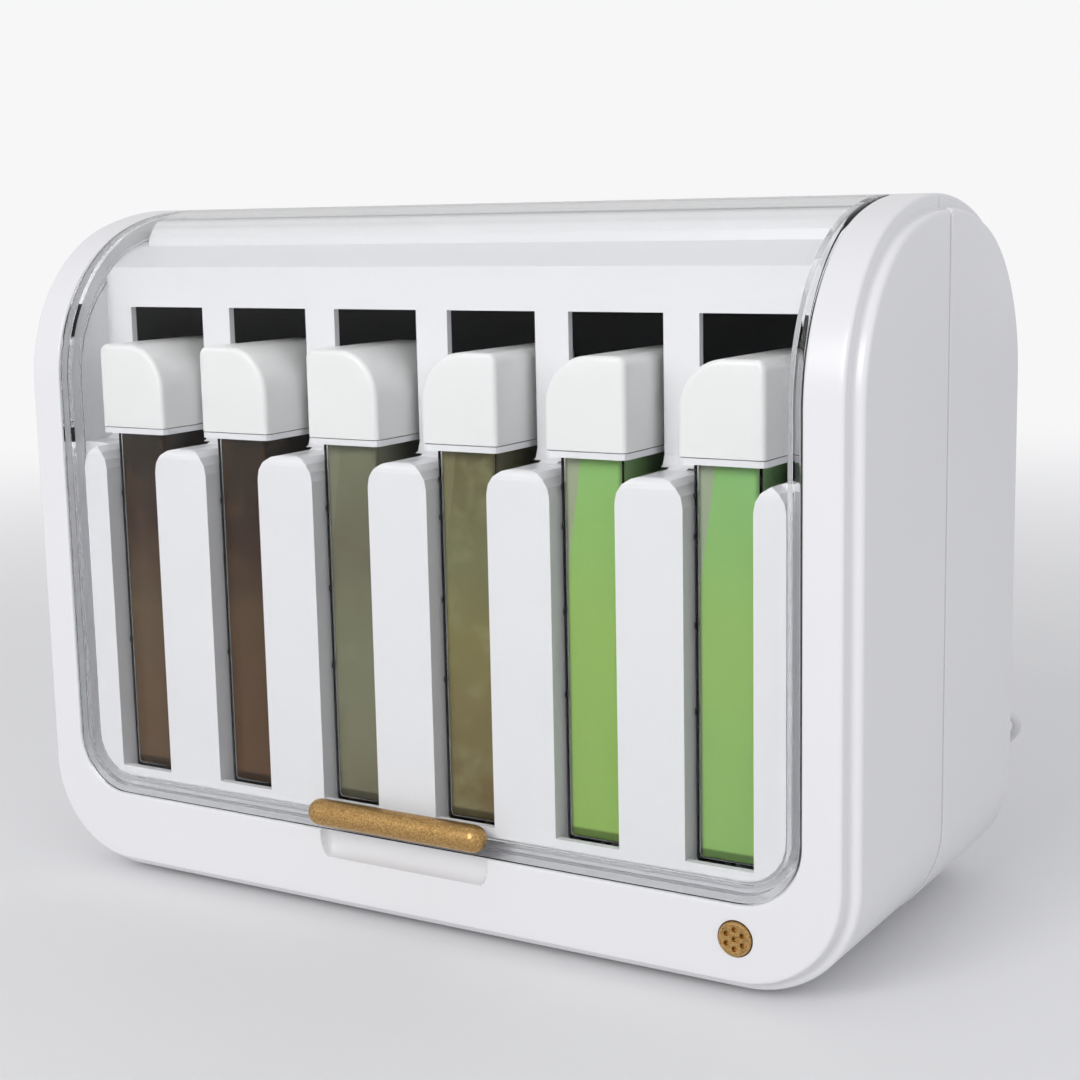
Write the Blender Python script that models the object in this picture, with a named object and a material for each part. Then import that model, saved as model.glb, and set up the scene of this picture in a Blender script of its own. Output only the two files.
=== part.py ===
"""Roll-on wax heater with six cartridges behind a clear lid.

Metres, +Z up, front towards -Y. The origin is on the floor, under the middle of the heater.
Depths are counted from the face of the front panel towards the back.
"""
import math

import bmesh
import bpy
from mathutils import Vector

MM = 0.001

# Clearances shared by all pieces
GAP = 0.3 * MM
OVERRUN = 2.0 * MM
EMBED = 0.6 * MM

# Housing: a proud panel band that runs up the front, over the top and down the back,
# on a slightly wider shell with rounded bottom corners
DEPTH = 145.3 * MM
HEIGHT = 234.8 * MM
PANEL_WIDTH = 305.8 * MM
PANEL_CORNER = 33.0 * MM
FLANGE_WIDTH = 3.9 * MM
FLANGE_DROP = 3.5 * MM
STEP_DEPTH = 4.9 * MM
TOP_RADIUS = 106.4 * MM
SHOULDER_RADIUS = 57.0 * MM
WALL = 2.6 * MM
SEAM_STEP = 0.5 * MM
LIP_THICKNESS = 1.3 * MM
LIP_REACH = 3.0 * MM
SHOULDER_STEPS = 7
TOP_STEPS = 6
CORNER_STEPS = 7

# Feet
FOOT_HEIGHT = 2.0 * MM
FOOT_RADIUS = 6.0 * MM
FOOT_STEM_RADIUS = 2.4 * MM
FOOT_STEM_REACH = 1.5 * MM
FOOT_INSET_X = 41.0 * MM
FOOT_INSET_Y = 16.0 * MM
FOOT_SIDES = 12

# Opening for the lid, with the wall that turns in around it
FRAME_WIDTH = 12.6 * MM
RAIL_HEIGHT = 24.3 * MM
OPENING_CORNER = 20.3 * MM
OPENING_REACH = 69.0 * MM
RETURN_WALL = 2.0 * MM
RETURN_DEPTH = 12.0 * MM

# Finger scoop in the bottom rail
SCOOP_WIDTH = 66.0 * MM
SCOOP_HEIGHT = 9.0 * MM
SCOOP_DEPTH = 4.2 * MM
SCOOP_WALL = 1.8 * MM
SCOOP_STEPS = 6

# Lid
LID_GAP = 0.4 * MM
LID_THICKNESS = 2.5 * MM
LID_REACH = 66.2 * MM
RIB_INSET = 2.3 * MM
RIB_WIDTH = 2.2 * MM
RIB_DEPTH = 4.7 * MM
EAR_RADIUS = 4.4 * MM
EAR_WIDTH = 4.0 * MM
HINGE_REACH = 61.5 * MM
PIN_RADIUS = 1.5 * MM
PIN_GRIP = 5.0 * MM
BOSS_WALL = 2.5 * MM
EAR_SIDES = 20

# Handle on the lid
HANDLE_LENGTH = 68.8 * MM
HANDLE_HEIGHT = 9.0 * MM
HANDLE_PROUD = 7.2 * MM
HANDLE_RISE = 7.0 * MM
HANDLE_SIDES = 16
HANDLE_RINGS = 4
HANDLE_TIP_SHARE = 0.35

# Tray behind the lid
SLOT_COUNT = 6
SLOT_PITCH = 45.0 * MM
SLOT_WIDTH = 22.5 * MM
SLOT_FLOOR = 37.2 * MM
SLOT_LIP = 1.9 * MM
SLOT_CHEEK = 2.0 * MM
SLOT_REACH = 11.0 * MM
TRAY_SETBACK = 4.9 * MM
TRAY_WALL = 2.5 * MM
TRAY_GAP = 1.4 * MM
TRAY_FLANGE = 10.5 * MM
SHELF_HEIGHT = 154.2 * MM
SHELF_ROUND = 3.2 * MM
SHELF_CORNER = 8.0 * MM
SHELF_FILLET = 4.0 * MM
WINDOW_SETBACK = 27.2 * MM
WINDOW_WIDTH = 33.0 * MM
WINDOW_TOP = 200.8 * MM
WALL_TOP = 214.3 * MM
SLOPE_REACH = 43.0 * MM
SLOPE_TOP = 221.5 * MM
SLOPE_END = 48.3 * MM
SLOPE_END_TOP = 223.2 * MM
COVER_RADIUS = 8.2 * MM
COVER_REACH = 51.8 * MM
PROFILE_STEPS = 4

# Heated chamber, heater block and what is fixed to them
CHAMBER_SHEET = 1.5 * MM
CHAMBER_BACK = 62.0 * MM
CHAMBER_DROP = 3.8 * MM
CHAMBER_TOP = 207.0 * MM
BLOCK_FIN = 2.0 * MM
BLOCK_BACK = 3.0 * MM
BLOCK_TOP = 141.0 * MM
FILM_THICKNESS = 1.2 * MM
FILM_MARGIN = 12.0 * MM
THERMOSTAT_RADIUS = 8.0 * MM
THERMOSTAT_THICKNESS = 6.0 * MM
THERMOSTAT_HEIGHT = 90.0 * MM
FUSE_RADIUS = 2.0 * MM
FUSE_LENGTH = 12.0 * MM
FUSE_OFFSET = 30.0 * MM
SUPPORT_RADIUS = 5.0 * MM
SUPPORT_SPREAD = 90.0 * MM
SUPPORT_HEIGHT = 110.0 * MM

# Power button, its switch and the control board
BUTTON_RADIUS = 5.4 * MM
BUTTON_PROUD = 1.0 * MM
BUTTON_TRAVEL = 0.8 * MM
BUTTON_X = 119.5 * MM
BUTTON_Z = 19.4 * MM
BUTTON_RIM = 1.2 * MM
BUTTON_HOLE_RADIUS = 0.85 * MM
BUTTON_HOLE_RING = 3.0 * MM
BUTTON_HOLE_DEPTH = 1.8 * MM
BUTTON_HOLES = 6
BUTTON_STEM_RADIUS = 1.6 * MM
BUTTON_STEM_REACH = 10.6 * MM
BUTTON_SIDES = 20
SWITCH_SIZE = 6.0 * MM
SWITCH_DEPTH = 3.9 * MM
BOARD_THICKNESS = 1.6 * MM
BOARD_HEIGHT = 17.0 * MM
BOARD_LENGTH = 62.0 * MM
BOARD_POST_RADIUS = 2.5 * MM
BOARD_POST_INSET = 6.0 * MM

# Screws that hold the two shells together
SCREW_RADIUS = 1.5 * MM
SCREW_HEAD_RADIUS = 2.8 * MM
SCREW_HEAD_HEIGHT = 2.2 * MM
SCREW_LENGTH = 24.0 * MM
SCREW_FLOOR = 9.0 * MM
SCREW_LOW = 45.0 * MM
SCREW_HIGH = 150.0 * MM
SCREW_BOSS_RADIUS = 5.6 * MM
SCREW_BOSS_FRONT = 22.0 * MM
SCREW_SIDES = 10

# Cartridges
BODY_WIDTH = 21.9 * MM
BODY_DEPTH = 44.0 * MM
BODY_FRONT = 10.0 * MM
BODY_ROUND = 2.6 * MM
BODY_WALL = 1.3 * MM
RING_BOTTOM = 158.6 * MM
RING_HEIGHT = 1.9 * MM
CAP_WIDTH = 28.0 * MM
CAP_FRONT = 7.1 * MM
CAP_HEIGHT = 29.7 * MM
CAP_CORNER = 15.0 * MM
CAP_ROUND = 2.0 * MM
CAP_WALL = 1.5 * MM
COLLAR_HEIGHT = 3.5 * MM
HEAD_PLUG = 3.0 * MM
HEAD_MOUTH_WIDTH = 12.0 * MM
HEAD_MOUTH_DEPTH = 30.0 * MM
ROLLER_RADIUS = 8.6 * MM
ROLLER_LENGTH = 34.0 * MM
ROLLER_ROUND = 1.0 * MM
AXLE_RADIUS = 1.6 * MM
AXLE_REACH = 1.6 * MM
ROLLER_EAR = 2.2 * MM
ROLLER_LIFT = 10.6 * MM
ROLLER_SIDES = 14
CAP_STEPS = 6
ROUND_STEPS = 2
WAX_LEVEL_SHARES = (0.99, 0.985, 0.99, 0.98, 0.995, 0.99)

# Mains lead: strain relief, free stretch, coil and plug
CORD_DIAMETER = 3.4 * MM
GRIP_X = 128.0 * MM
GRIP_HEIGHT = 48.0 * MM
GRIP_LENGTH = 24.0 * MM
GRIP_RADIUS = 4.4 * MM
GRIP_FLANGE_RADIUS = 7.0 * MM
GRIP_SIDES = 16
CORD_ROUTE = [
    (128.0, 169.6, 48.0), (128.1, 176.0, 47.9), (129.3, 186.0, 47.2), (132.0, 196.0, 45.2), (135.0, 205.0, 41.6),
    (136.4, 213.0, 36.6), (134.4, 220.3, 30.6), (128.6, 225.6, 24.2), (120.2, 227.8, 18.0), (111.0, 227.2, 12.4),
    (101.5, 224.9, 7.8), (92.0, 222.3, 4.4), (82.0, 220.5, 2.4), (72.0, 219.7, 1.75), (60.0, 219.5, 1.7),
    (46.0, 219.5, 1.7), (30.0, 219.5, 1.7), (23.7, 219.5, 1.7),
]
CORD_POINTS = 60
COIL_X = 20.0 * MM
COIL_MIDDLE_RADIUS = 20.4 * MM
COIL_TURNS = 8.5
COIL_PITCH = 3.9 * MM
COIL_LAYER = 3.9 * MM
COIL_POINTS = 24
COIL_RUN_OUT = 24.0 * MM
PLUG_WIDTH = 23.0 * MM
PLUG_THICKNESS = 11.2 * MM
PLUG_LENGTH = 24.0 * MM
PLUG_NECK = 13.0 * MM
PLUG_ROUND = 3.0 * MM
BLADE_LENGTH = 17.0 * MM
BLADE_WIDTH = 6.3 * MM
BLADE_THICKNESS = 1.5 * MM
BLADE_SPACING = 12.7 * MM
BLADE_DEPTH = 4.0 * MM

# Values worked out from those above
PANEL_HALF = PANEL_WIDTH / 2
SHELL_HALF = PANEL_HALF + FLANGE_WIDTH
SHELL_BOTTOM = FOOT_HEIGHT
PANEL_BOTTOM = SHELL_BOTTOM + FLANGE_DROP
SHELL_CORNER = PANEL_CORNER + FLANGE_DROP
MIDDLE = DEPTH / 2
OPENING_HALF = PANEL_HALF - FRAME_WIDTH
OPENING_BOTTOM = PANEL_BOTTOM + RAIL_HEIGHT
LID_HALF = OPENING_HALF - LID_GAP
LID_BOTTOM = OPENING_BOTTOM + GAP
LID_CORNER = OPENING_CORNER - GAP
TRAY_HALF = LID_HALF - RIB_INSET - RIB_WIDTH - TRAY_GAP
TRAY_BOTTOM = LID_BOTTOM + RIB_INSET + RIB_WIDTH + TRAY_GAP
TRAY_CORNER = LID_CORNER - RIB_INSET - RIB_WIDTH - TRAY_GAP
COVER_HALF = LID_HALF - GAP - EAR_WIDTH - TRAY_GAP
WINDOW_HALF = OPENING_HALF - GAP
SIDE_HALF = OPENING_HALF + TRAY_WALL
SIDE_FRONT = RETURN_DEPTH + GAP
TRAY_BACK = WINDOW_SETBACK + TRAY_WALL
SLOT_END = TRAY_SETBACK + SLOT_REACH
BODY_BACK = BODY_FRONT + BODY_DEPTH
BODY_BOTTOM = SLOT_FLOOR + GAP
CAP_DEPTH = BODY_DEPTH + 2 * (BODY_FRONT - CAP_FRONT)
BLOCK_FACE = BODY_BACK + GAP
CHAMBER_FLOOR = SLOT_FLOOR - CHAMBER_DROP
BLOCK_HALF = (SLOT_COUNT - 1) / 2 * SLOT_PITCH + SLOT_WIDTH / 2 + BLOCK_FIN
CHAMBER_HALF = TRAY_HALF - TRAY_WALL - GAP
ORIGIN_DEPTH = (DEPTH - HANDLE_PROUD) / 2


# Building blocks

def arc(centre, radius, start_deg, end_deg, steps):
    """Points along a circular arc, both ends included."""
    points = []
    for step in range(steps + 1):
        angle = math.radians(start_deg + (end_deg - start_deg) * step / steps)
        points.append((centre[0] + radius * math.cos(angle), centre[1] + radius * math.sin(angle)))
    return points


def arch_geometry(inset):
    """Radii, centres and joint angle of the housing's side outline, drawn in by inset."""
    top_centre = HEIGHT - TOP_RADIUS
    rise = math.sqrt((TOP_RADIUS - SHOULDER_RADIUS) ** 2 - (MIDDLE - SHOULDER_RADIUS) ** 2)
    joint_deg = math.degrees(math.atan2(rise, MIDDLE - SHOULDER_RADIUS))
    return top_centre, top_centre + rise, joint_deg, TOP_RADIUS - inset, SHOULDER_RADIUS - inset


def arch_height(depth, inset=0.0):
    """Height of the side outline at a depth."""
    top_centre, shoulder_centre, joint_deg, top_radius, shoulder_radius = arch_geometry(inset)
    across = abs(depth - MIDDLE)
    if across <= top_radius * math.cos(math.radians(joint_deg)):
        return top_centre + math.sqrt(top_radius ** 2 - across ** 2)
    side = across - (MIDDLE - SHOULDER_RADIUS)
    return shoulder_centre + math.sqrt(max(shoulder_radius ** 2 - side ** 2, 0.0))


def arch_outline(inset, bottom):
    """Closed side outline (depth, height): straight front and back, two shoulders and a flatter top."""
    top_centre, shoulder_centre, joint_deg, top_radius, shoulder_radius = arch_geometry(inset)
    front = arc((SHOULDER_RADIUS, shoulder_centre), shoulder_radius, 180, 180 - joint_deg, SHOULDER_STEPS)
    top = arc((MIDDLE, top_centre), top_radius, 180 - joint_deg, joint_deg, TOP_STEPS)
    back = arc((DEPTH - SHOULDER_RADIUS, shoulder_centre), shoulder_radius, joint_deg, 0, SHOULDER_STEPS)
    return [(inset, bottom)] + front + top[1:-1] + back + [(DEPTH - inset, bottom)]


def cradle_outline(half_width, bottom, radius, top):
    """Closed front outline (x, height) with rounded bottom corners and a square top."""
    right = arc((half_width - radius, bottom + radius), radius, -90, 0, CORNER_STEPS)
    left = arc((-half_width + radius, bottom + radius), radius, 180, 270, CORNER_STEPS)
    return [(half_width, top), (-half_width, top)] + left + right


def rectangle(low_a, high_a, low_b, high_b):
    return [(low_a, low_b), (high_a, low_b), (high_a, high_b), (low_a, high_b)]


def rounded_rectangle(low_a, high_a, low_b, high_b, radius, steps=ROUND_STEPS):
    corners = (
        (high_a - radius, low_b + radius, -90),
        (high_a - radius, high_b - radius, 0),
        (low_a + radius, high_b - radius, 90),
        (low_a + radius, low_b + radius, 180),
    )
    points = []
    for a, b, start in corners:
        points += arc((a, b), radius, start, start + 90, steps)
    return points


def place(axis, along, point):
    """A point of an outline, at a distance along the axis that the outline is extruded on."""
    if axis == "X":
        return Vector((along, point[0], point[1]))
    if axis == "Y":
        return Vector((point[0], along, point[1]))
    return Vector((point[0], point[1], along))


def mesh_from(bm, name):
    bmesh.ops.recalc_face_normals(bm, faces=bm.faces)
    mesh = bpy.data.meshes.new(name)
    bm.to_mesh(mesh)
    bm.free()
    return mesh


def loft(name, rings):
    """Closed body through rings of equally many points, capped at both ends."""
    bm = bmesh.new()
    loops = [[bm.verts.new(point) for point in ring] for ring in rings]
    for lower, upper in zip(loops, loops[1:]):
        count = len(lower)
        for index in range(count):
            after = (index + 1) % count
            bm.faces.new((lower[index], lower[after], upper[after], upper[index]))
    bm.faces.new(list(reversed(loops[0])))
    bm.faces.new(loops[-1])
    return bpy.data.objects.new(name, mesh_from(bm, name))


def prism(name, outline, axis, low, high):
    """Outline extruded along an axis."""
    rings = [[place(axis, along, point) for point in outline] for along in (low, high)]
    return link(loft(name, rings))


def turned(name, axis, centre, profile, sides):
    """Body turned about an axis through centre: profile is a list of (distance along, radius)."""
    rings = []
    for along, radius in profile:
        circle = [
            (centre[0] + radius * math.cos(2 * math.pi * k / sides),
             centre[1] + radius * math.sin(2 * math.pi * k / sides))
            for k in range(sides)
        ]
        rings.append([place(axis, along, point) for point in circle])
    return link(loft(name, rings))


def link(obj):
    bpy.context.scene.collection.objects.link(obj)
    return obj


def combine(target, tool, operation):
    """Applies one exact Boolean and deletes the tool."""
    modifier = target.modifiers.new(operation.title(), "BOOLEAN")
    modifier.operation = operation
    modifier.solver = "EXACT"
    modifier.object = tool
    graph = bpy.context.evaluated_depsgraph_get()
    mesh = bpy.data.meshes.new_from_object(target.evaluated_get(graph))
    target.modifiers.clear()
    target.data = mesh
    bpy.data.objects.remove(tool)
    return target


def add(target, *tools):
    for tool in tools:
        combine(target, tool, "UNION")
    return target


def cut(target, *tools):
    for tool in tools:
        combine(target, tool, "DIFFERENCE")
    return target


def keep(target, *tools):
    for tool in tools:
        combine(target, tool, "INTERSECT")
    return target


def material(name, colour, roughness, metallic=0.0, transmission=0.0):
    """Principled material with the part's colour, roughness and metallic value."""
    made = bpy.data.materials.new(name)
    made.use_nodes = True
    shader = made.node_tree.nodes["Principled BSDF"]
    shader.inputs["Base Color"].default_value = (*colour, 1.0)
    shader.inputs["Roughness"].default_value = roughness
    shader.inputs["Metallic"].default_value = metallic
    shader.inputs["Transmission Weight"].default_value = transmission
    made.diffuse_color = (*colour, 1.0)
    return made


def finish(obj, name, look, parent, origin=(0.0, 0.0, 0.0)):
    """Names the piece, cleans its mesh, moves its origin onto its seat or axis and shades it smooth."""
    obj.name = name
    obj.data.name = name
    bm = bmesh.new()
    bm.from_mesh(obj.data)
    bmesh.ops.dissolve_degenerate(bm, edges=bm.edges, dist=EMBED * 0.001)
    bmesh.ops.translate(bm, verts=bm.verts, vec=-Vector(origin))
    bm.to_mesh(obj.data)
    bm.free()
    obj.data.shade_smooth()
    obj.data.set_sharp_from_angle(angle=math.radians(32))
    obj.data.materials.clear()
    obj.data.materials.append(look)
    obj.location = origin
    obj.parent = parent
    return obj


def slot_centre(index):
    return (index - (SLOT_COUNT - 1) / 2) * SLOT_PITCH


def both_sides():
    return ((-1, "left"), (1, "right"))


# Housing: two shells that meet at the middle of the depth

def housing_solid(inset, extra=0.0):
    """Panel band and shell as one solid, drawn in everywhere by inset; extra widens the shell alone."""
    reach = SHELL_HALF + OVERRUN
    below = -OVERRUN
    band = prism("band", arch_outline(inset, below), "X", -reach, reach)
    panel = cradle_outline(PANEL_HALF - inset, PANEL_BOTTOM + inset, PANEL_CORNER - inset, HEIGHT + OVERRUN)
    keep(band, prism("panel", panel, "Y", -OVERRUN, DEPTH + OVERRUN))
    shell = prism("shell", arch_outline(STEP_DEPTH + inset, below), "X", -reach, reach)
    half = SHELL_HALF + extra - inset
    outline = cradle_outline(half, SHELL_BOTTOM + inset, SHELL_CORNER + extra - inset, HEIGHT + OVERRUN)
    keep(shell, prism("outline", outline, "Y", -OVERRUN, DEPTH + OVERRUN))
    return add(band, shell)


def half_space(name, low, high):
    """Box that takes in the whole housing between two depths."""
    reach = SHELL_HALF + SEAM_STEP + OVERRUN
    return prism(name, rectangle(-reach, reach, -OVERRUN, HEIGHT + OVERRUN), "Y", low, high)


def opening_prism(name, grow, low, high):
    """Opening for the lid as a cutter, grown by grow on its sides and bottom."""
    outline = cradle_outline(
        OPENING_HALF + grow, OPENING_BOTTOM - grow, OPENING_CORNER + grow, HEIGHT + OVERRUN)
    return prism(name, outline, "Y", low, high)


def scoop_profile(drop, reach):
    """Side outline of the finger scoop: a quarter hollow, deepest at the top of the rail."""
    top = OPENING_BOTTOM + OVERRUN
    hollow = []
    for step in range(SCOOP_STEPS + 1):
        share = step / SCOOP_STEPS
        hollow.append((reach * math.sin(share * math.pi / 2), OPENING_BOTTOM - drop * math.cos(share * math.pi / 2)))
    return [(-OVERRUN, top), (-OVERRUN, hollow[0][1])] + hollow + [(reach, top)]


def make_front_shell(white, parent):
    shell = housing_solid(0.0)
    cut(shell, housing_solid(WALL))
    keep(shell, half_space("front_half", -OVERRUN, MIDDLE - GAP / 2))

    # Wall that turns in around the opening, following the arch
    turn = arch_shell(WALL - EMBED, RETURN_DEPTH)
    keep(turn, opening_prism("turn_outside", RETURN_WALL, -OVERRUN, OPENING_REACH + RETURN_WALL))
    add(shell, turn)

    # Pocket behind the rail that the finger scoop is cut into
    pocket = prism(
        "pocket",
        rectangle(WALL - EMBED, SCOOP_DEPTH + SCOOP_WALL, OPENING_BOTTOM - SCOOP_HEIGHT, OPENING_BOTTOM - EMBED),
        "X", -SCOOP_WIDTH / 2 - SCOOP_WALL, SCOOP_WIDTH / 2 + SCOOP_WALL)
    add(shell, pocket)
    cut(shell, opening_prism("opening", 0.0, -OVERRUN, OPENING_REACH))
    scoop = prism("scoop", scoop_profile(SCOOP_HEIGHT, SCOOP_DEPTH), "X", -SCOOP_WIDTH / 2, SCOOP_WIDTH / 2)
    corner = rounded_rectangle(
        -SCOOP_WIDTH / 2, SCOOP_WIDTH / 2, OPENING_BOTTOM - SCOOP_HEIGHT, OPENING_BOTTOM + SCOOP_HEIGHT,
        SCOOP_HEIGHT * 0.7, CORNER_STEPS - ROUND_STEPS)
    keep(scoop, prism("scoop_face", corner, "Y", -2 * OVERRUN, SCOOP_DEPTH + OVERRUN))
    cut(shell, scoop)

    # Bosses for the hinge pins
    hinge = (HINGE_REACH, hinge_height())
    for side, label in both_sides():
        inner = OPENING_HALF + RETURN_WALL - EMBED
        outer = OPENING_HALF + RETURN_WALL + PIN_GRIP
        boss = turned(
            "boss", "X", hinge,
            [(side * inner, PIN_RADIUS + BOSS_WALL), (side * outer, PIN_RADIUS + BOSS_WALL)], EAR_SIDES)
        web = prism(
            "web", rectangle(hinge[0] - BOSS_WALL, hinge[0] + BOSS_WALL, hinge[1], HEIGHT - WALL + EMBED),
            "X", *sorted((side * inner, side * outer)))
        add(shell, boss, web)
        cut(shell, turned(
            "pin_hole", "X", hinge,
            [(side * (OPENING_HALF - OVERRUN), PIN_RADIUS + GAP), (side * (outer - BOSS_WALL / 2), PIN_RADIUS + GAP)],
            EAR_SIDES))

    # Button hole and the posts of the control board
    cut(shell, turned(
        "button_hole", "Y", (BUTTON_X, BUTTON_Z),
        [(-OVERRUN, BUTTON_RADIUS + GAP), (WALL + OVERRUN, BUTTON_RADIUS + GAP)], BUTTON_SIDES))
    for x in board_posts():
        add(shell, turned(
            "board_post", "Y", (x, BUTTON_Z),
            [(WALL - EMBED, BOARD_POST_RADIUS), (board_front() - GAP, BOARD_POST_RADIUS)], SCREW_SIDES))

    # Bosses that the shell screws go into, along the side walls
    for x, z in screw_places():
        add(shell, turned(
            "screw_boss", "Y", (x, z),
            [(SCREW_BOSS_FRONT, SCREW_BOSS_RADIUS), (MIDDLE - GAP / 2, SCREW_BOSS_RADIUS)], SCREW_SIDES))
        cut(shell, turned(
            "screw_bore", "Y", (x, z),
            [(screw_tip() - GAP, SCREW_RADIUS + GAP), (MIDDLE + OVERRUN, SCREW_RADIUS + GAP)], SCREW_SIDES))

    # Lip that reaches into the back shell and lines the two up
    lip = housing_solid(WALL - EMBED)
    cut(lip, housing_solid(WALL + GAP + LIP_THICKNESS))
    keep(lip, half_space("lip_front", MIDDLE - 2 * LIP_REACH, MIDDLE - LIP_REACH))
    tongue = housing_solid(WALL + GAP)
    cut(tongue, housing_solid(WALL + GAP + LIP_THICKNESS))
    keep(tongue, half_space("lip_back", MIDDLE - LIP_REACH - EMBED, MIDDLE + LIP_REACH))
    add(lip, tongue)
    cut(lip, opening_prism("lip_opening", GAP / 3, -OVERRUN, OPENING_REACH + GAP))
    reach = SCREW_BOSS_RADIUS + GAP
    for x, z in screw_places():
        cut(lip, turned(
            "lip_relief", "Y", (x, z), [(MIDDLE, reach), (MIDDLE + LIP_REACH + OVERRUN, reach)], SCREW_SIDES))
    add(shell, lip)

    drill_foot_holes(shell, (0,))
    return finish(shell, "front_shell", white, parent)


def drill_foot_holes(shell, rows):
    for x, y, row in foot_places():
        if row in rows:
            radius = FOOT_STEM_RADIUS + GAP
            cut(shell, turned(
                "foot_hole", "Z", (x, y), [(0.0, radius), (SHELL_BOTTOM + WALL + OVERRUN, radius)], SCREW_SIDES))


def make_rear_shell(white, parent):
    shell = housing_solid(0.0, SEAM_STEP)
    cut(shell, housing_solid(WALL))
    well_floor = MIDDLE + SCREW_FLOOR
    for x, z in screw_places():
        add(shell, turned(
            "screw_boss", "Y", (x, z),
            [(MIDDLE - OVERRUN, SCREW_BOSS_RADIUS), (DEPTH - STEP_DEPTH - EMBED, SCREW_BOSS_RADIUS)], SCREW_SIDES))
    keep(shell, half_space("rear_half", MIDDLE + GAP / 2, DEPTH + OVERRUN))
    for x, z in screw_places():
        wide = SCREW_HEAD_RADIUS + GAP
        cut(shell, turned("screw_well", "Y", (x, z), [(well_floor, wide), (DEPTH + OVERRUN, wide)], SCREW_SIDES))
        narrow = SCREW_RADIUS + GAP
        cut(shell, turned(
            "screw_bore", "Y", (x, z), [(MIDDLE - OVERRUN, narrow), (well_floor + EMBED, narrow)], SCREW_SIDES))
    for x in (-SUPPORT_SPREAD, SUPPORT_SPREAD):
        add(shell, turned(
            "chamber_support", "Y", (x, SUPPORT_HEIGHT),
            [(CHAMBER_BACK + GAP, SUPPORT_RADIUS), (DEPTH - WALL + EMBED, SUPPORT_RADIUS)], SCREW_SIDES))
    cut(shell, turned(
        "cord_hole", "Y", (GRIP_X, GRIP_HEIGHT),
        [(DEPTH - WALL - OVERRUN, GRIP_RADIUS + GAP), (DEPTH + OVERRUN, GRIP_RADIUS + GAP)], GRIP_SIDES))
    drill_foot_holes(shell, (1,))
    return finish(shell, "rear_shell", white, parent)


def foot_places():
    """Centres of the feet and their row: 0 in front, 1 at the back."""
    places = []
    for row, y in enumerate((FOOT_INSET_Y, DEPTH - FOOT_INSET_Y)):
        for x in (-SHELL_HALF + FOOT_INSET_X, SHELL_HALF - FOOT_INSET_X):
            places.append((x, y, row))
    return places


def make_feet(rubber, parent):
    names = ("foot_front_left", "foot_front_right", "foot_rear_left", "foot_rear_right")
    for name, (x, y, _) in zip(names, foot_places()):
        profile = [
            (0.0, FOOT_RADIUS * 0.82), (FOOT_HEIGHT * 0.3, FOOT_RADIUS), (SHELL_BOTTOM - GAP, FOOT_RADIUS),
            (SHELL_BOTTOM - GAP, FOOT_STEM_RADIUS), (SHELL_BOTTOM + FOOT_STEM_REACH, FOOT_STEM_RADIUS)]
        finish(turned(name, "Z", (x, y), profile, FOOT_SIDES), name, rubber, parent, (x, y, 0.0))


# Screws

def screw_places():
    x = SHELL_HALF - WALL - SCREW_BOSS_RADIUS + EMBED
    return [(side * x, z) for z in (SCREW_LOW, SCREW_HIGH) for side in (-1, 1)]


def screw_tip():
    return MIDDLE + SCREW_FLOOR + GAP - SCREW_LENGTH


def make_screws(steel, parent):
    for index, (x, z) in enumerate(screw_places(), 1):
        seat = MIDDLE + SCREW_FLOOR + GAP
        profile = [
            (screw_tip(), SCREW_RADIUS * 0.4), (screw_tip() + SCREW_RADIUS, SCREW_RADIUS), (seat, SCREW_RADIUS),
            (seat, SCREW_HEAD_RADIUS), (seat + SCREW_HEAD_HEIGHT * 0.6, SCREW_HEAD_RADIUS),
            (seat + SCREW_HEAD_HEIGHT, SCREW_HEAD_RADIUS * 0.55)]
        name = f"shell_screw_{index}"
        finish(turned(name, "Y", (x, z), profile, SCREW_SIDES), name, steel, parent, (x, seat, z))


# Lid, its handle and hinge pins

def hinge_height():
    return arch_height(HINGE_REACH) - EAR_RADIUS


def lid_region(name, inset, low=-OVERRUN, high=LID_REACH):
    outline = cradle_outline(
        LID_HALF - inset, LID_BOTTOM + inset, LID_CORNER - inset, HEIGHT + OVERRUN)
    return prism(name, outline, "Y", low, high)


def arch_shell(outer, inner):
    """Layer of the arch between two insets."""
    reach = PANEL_HALF
    layer = prism("layer", arch_outline(outer, 0.0), "X", -reach, reach)
    return cut(layer, prism("inside", arch_outline(inner, -OVERRUN), "X", -reach - OVERRUN, reach + OVERRUN))


def make_lid(clear, hinge):
    lid = arch_shell(0.0, LID_THICKNESS)
    keep(lid, lid_region("lid_outline", 0.0))
    rib = arch_shell(LID_THICKNESS - EMBED, LID_THICKNESS + RIB_DEPTH)
    keep(rib, lid_region("rib_outside", RIB_INSET, high=HINGE_REACH))
    cut(rib, lid_region("rib_inside", RIB_INSET + RIB_WIDTH, -2 * OVERRUN, HINGE_REACH + OVERRUN))
    add(lid, rib)
    centre = (HINGE_REACH, hinge_height())
    for side, _ in both_sides():
        span = (side * (LID_HALF - GAP - EAR_WIDTH), side * (LID_HALF - GAP))
        radius = EAR_RADIUS - GAP / 2
        add(lid, turned("ear", "X", centre, [(x, radius) for x in span], EAR_SIDES))
        hole = (span[0] - side * OVERRUN, span[1] + side * OVERRUN)
        cut(lid, turned("ear_hole", "X", centre, [(x, PIN_RADIUS + GAP) for x in hole], EAR_SIDES // 2))
    return finish(lid, "lid", clear, hinge)


def make_hinge_pins(steel, parent):
    for side, label in both_sides():
        inner = LID_HALF - GAP - EAR_WIDTH + GAP
        outer = OPENING_HALF + RETURN_WALL + PIN_GRIP - BOSS_WALL / 2 - GAP
        centre = (HINGE_REACH, hinge_height())
        pin = turned("pin", "X", centre, [(side * x, PIN_RADIUS) for x in (inner, outer)], EAR_SIDES // 2)
        finish(pin, f"hinge_pin_{label}", steel, parent, (side * inner, *centre))


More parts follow.
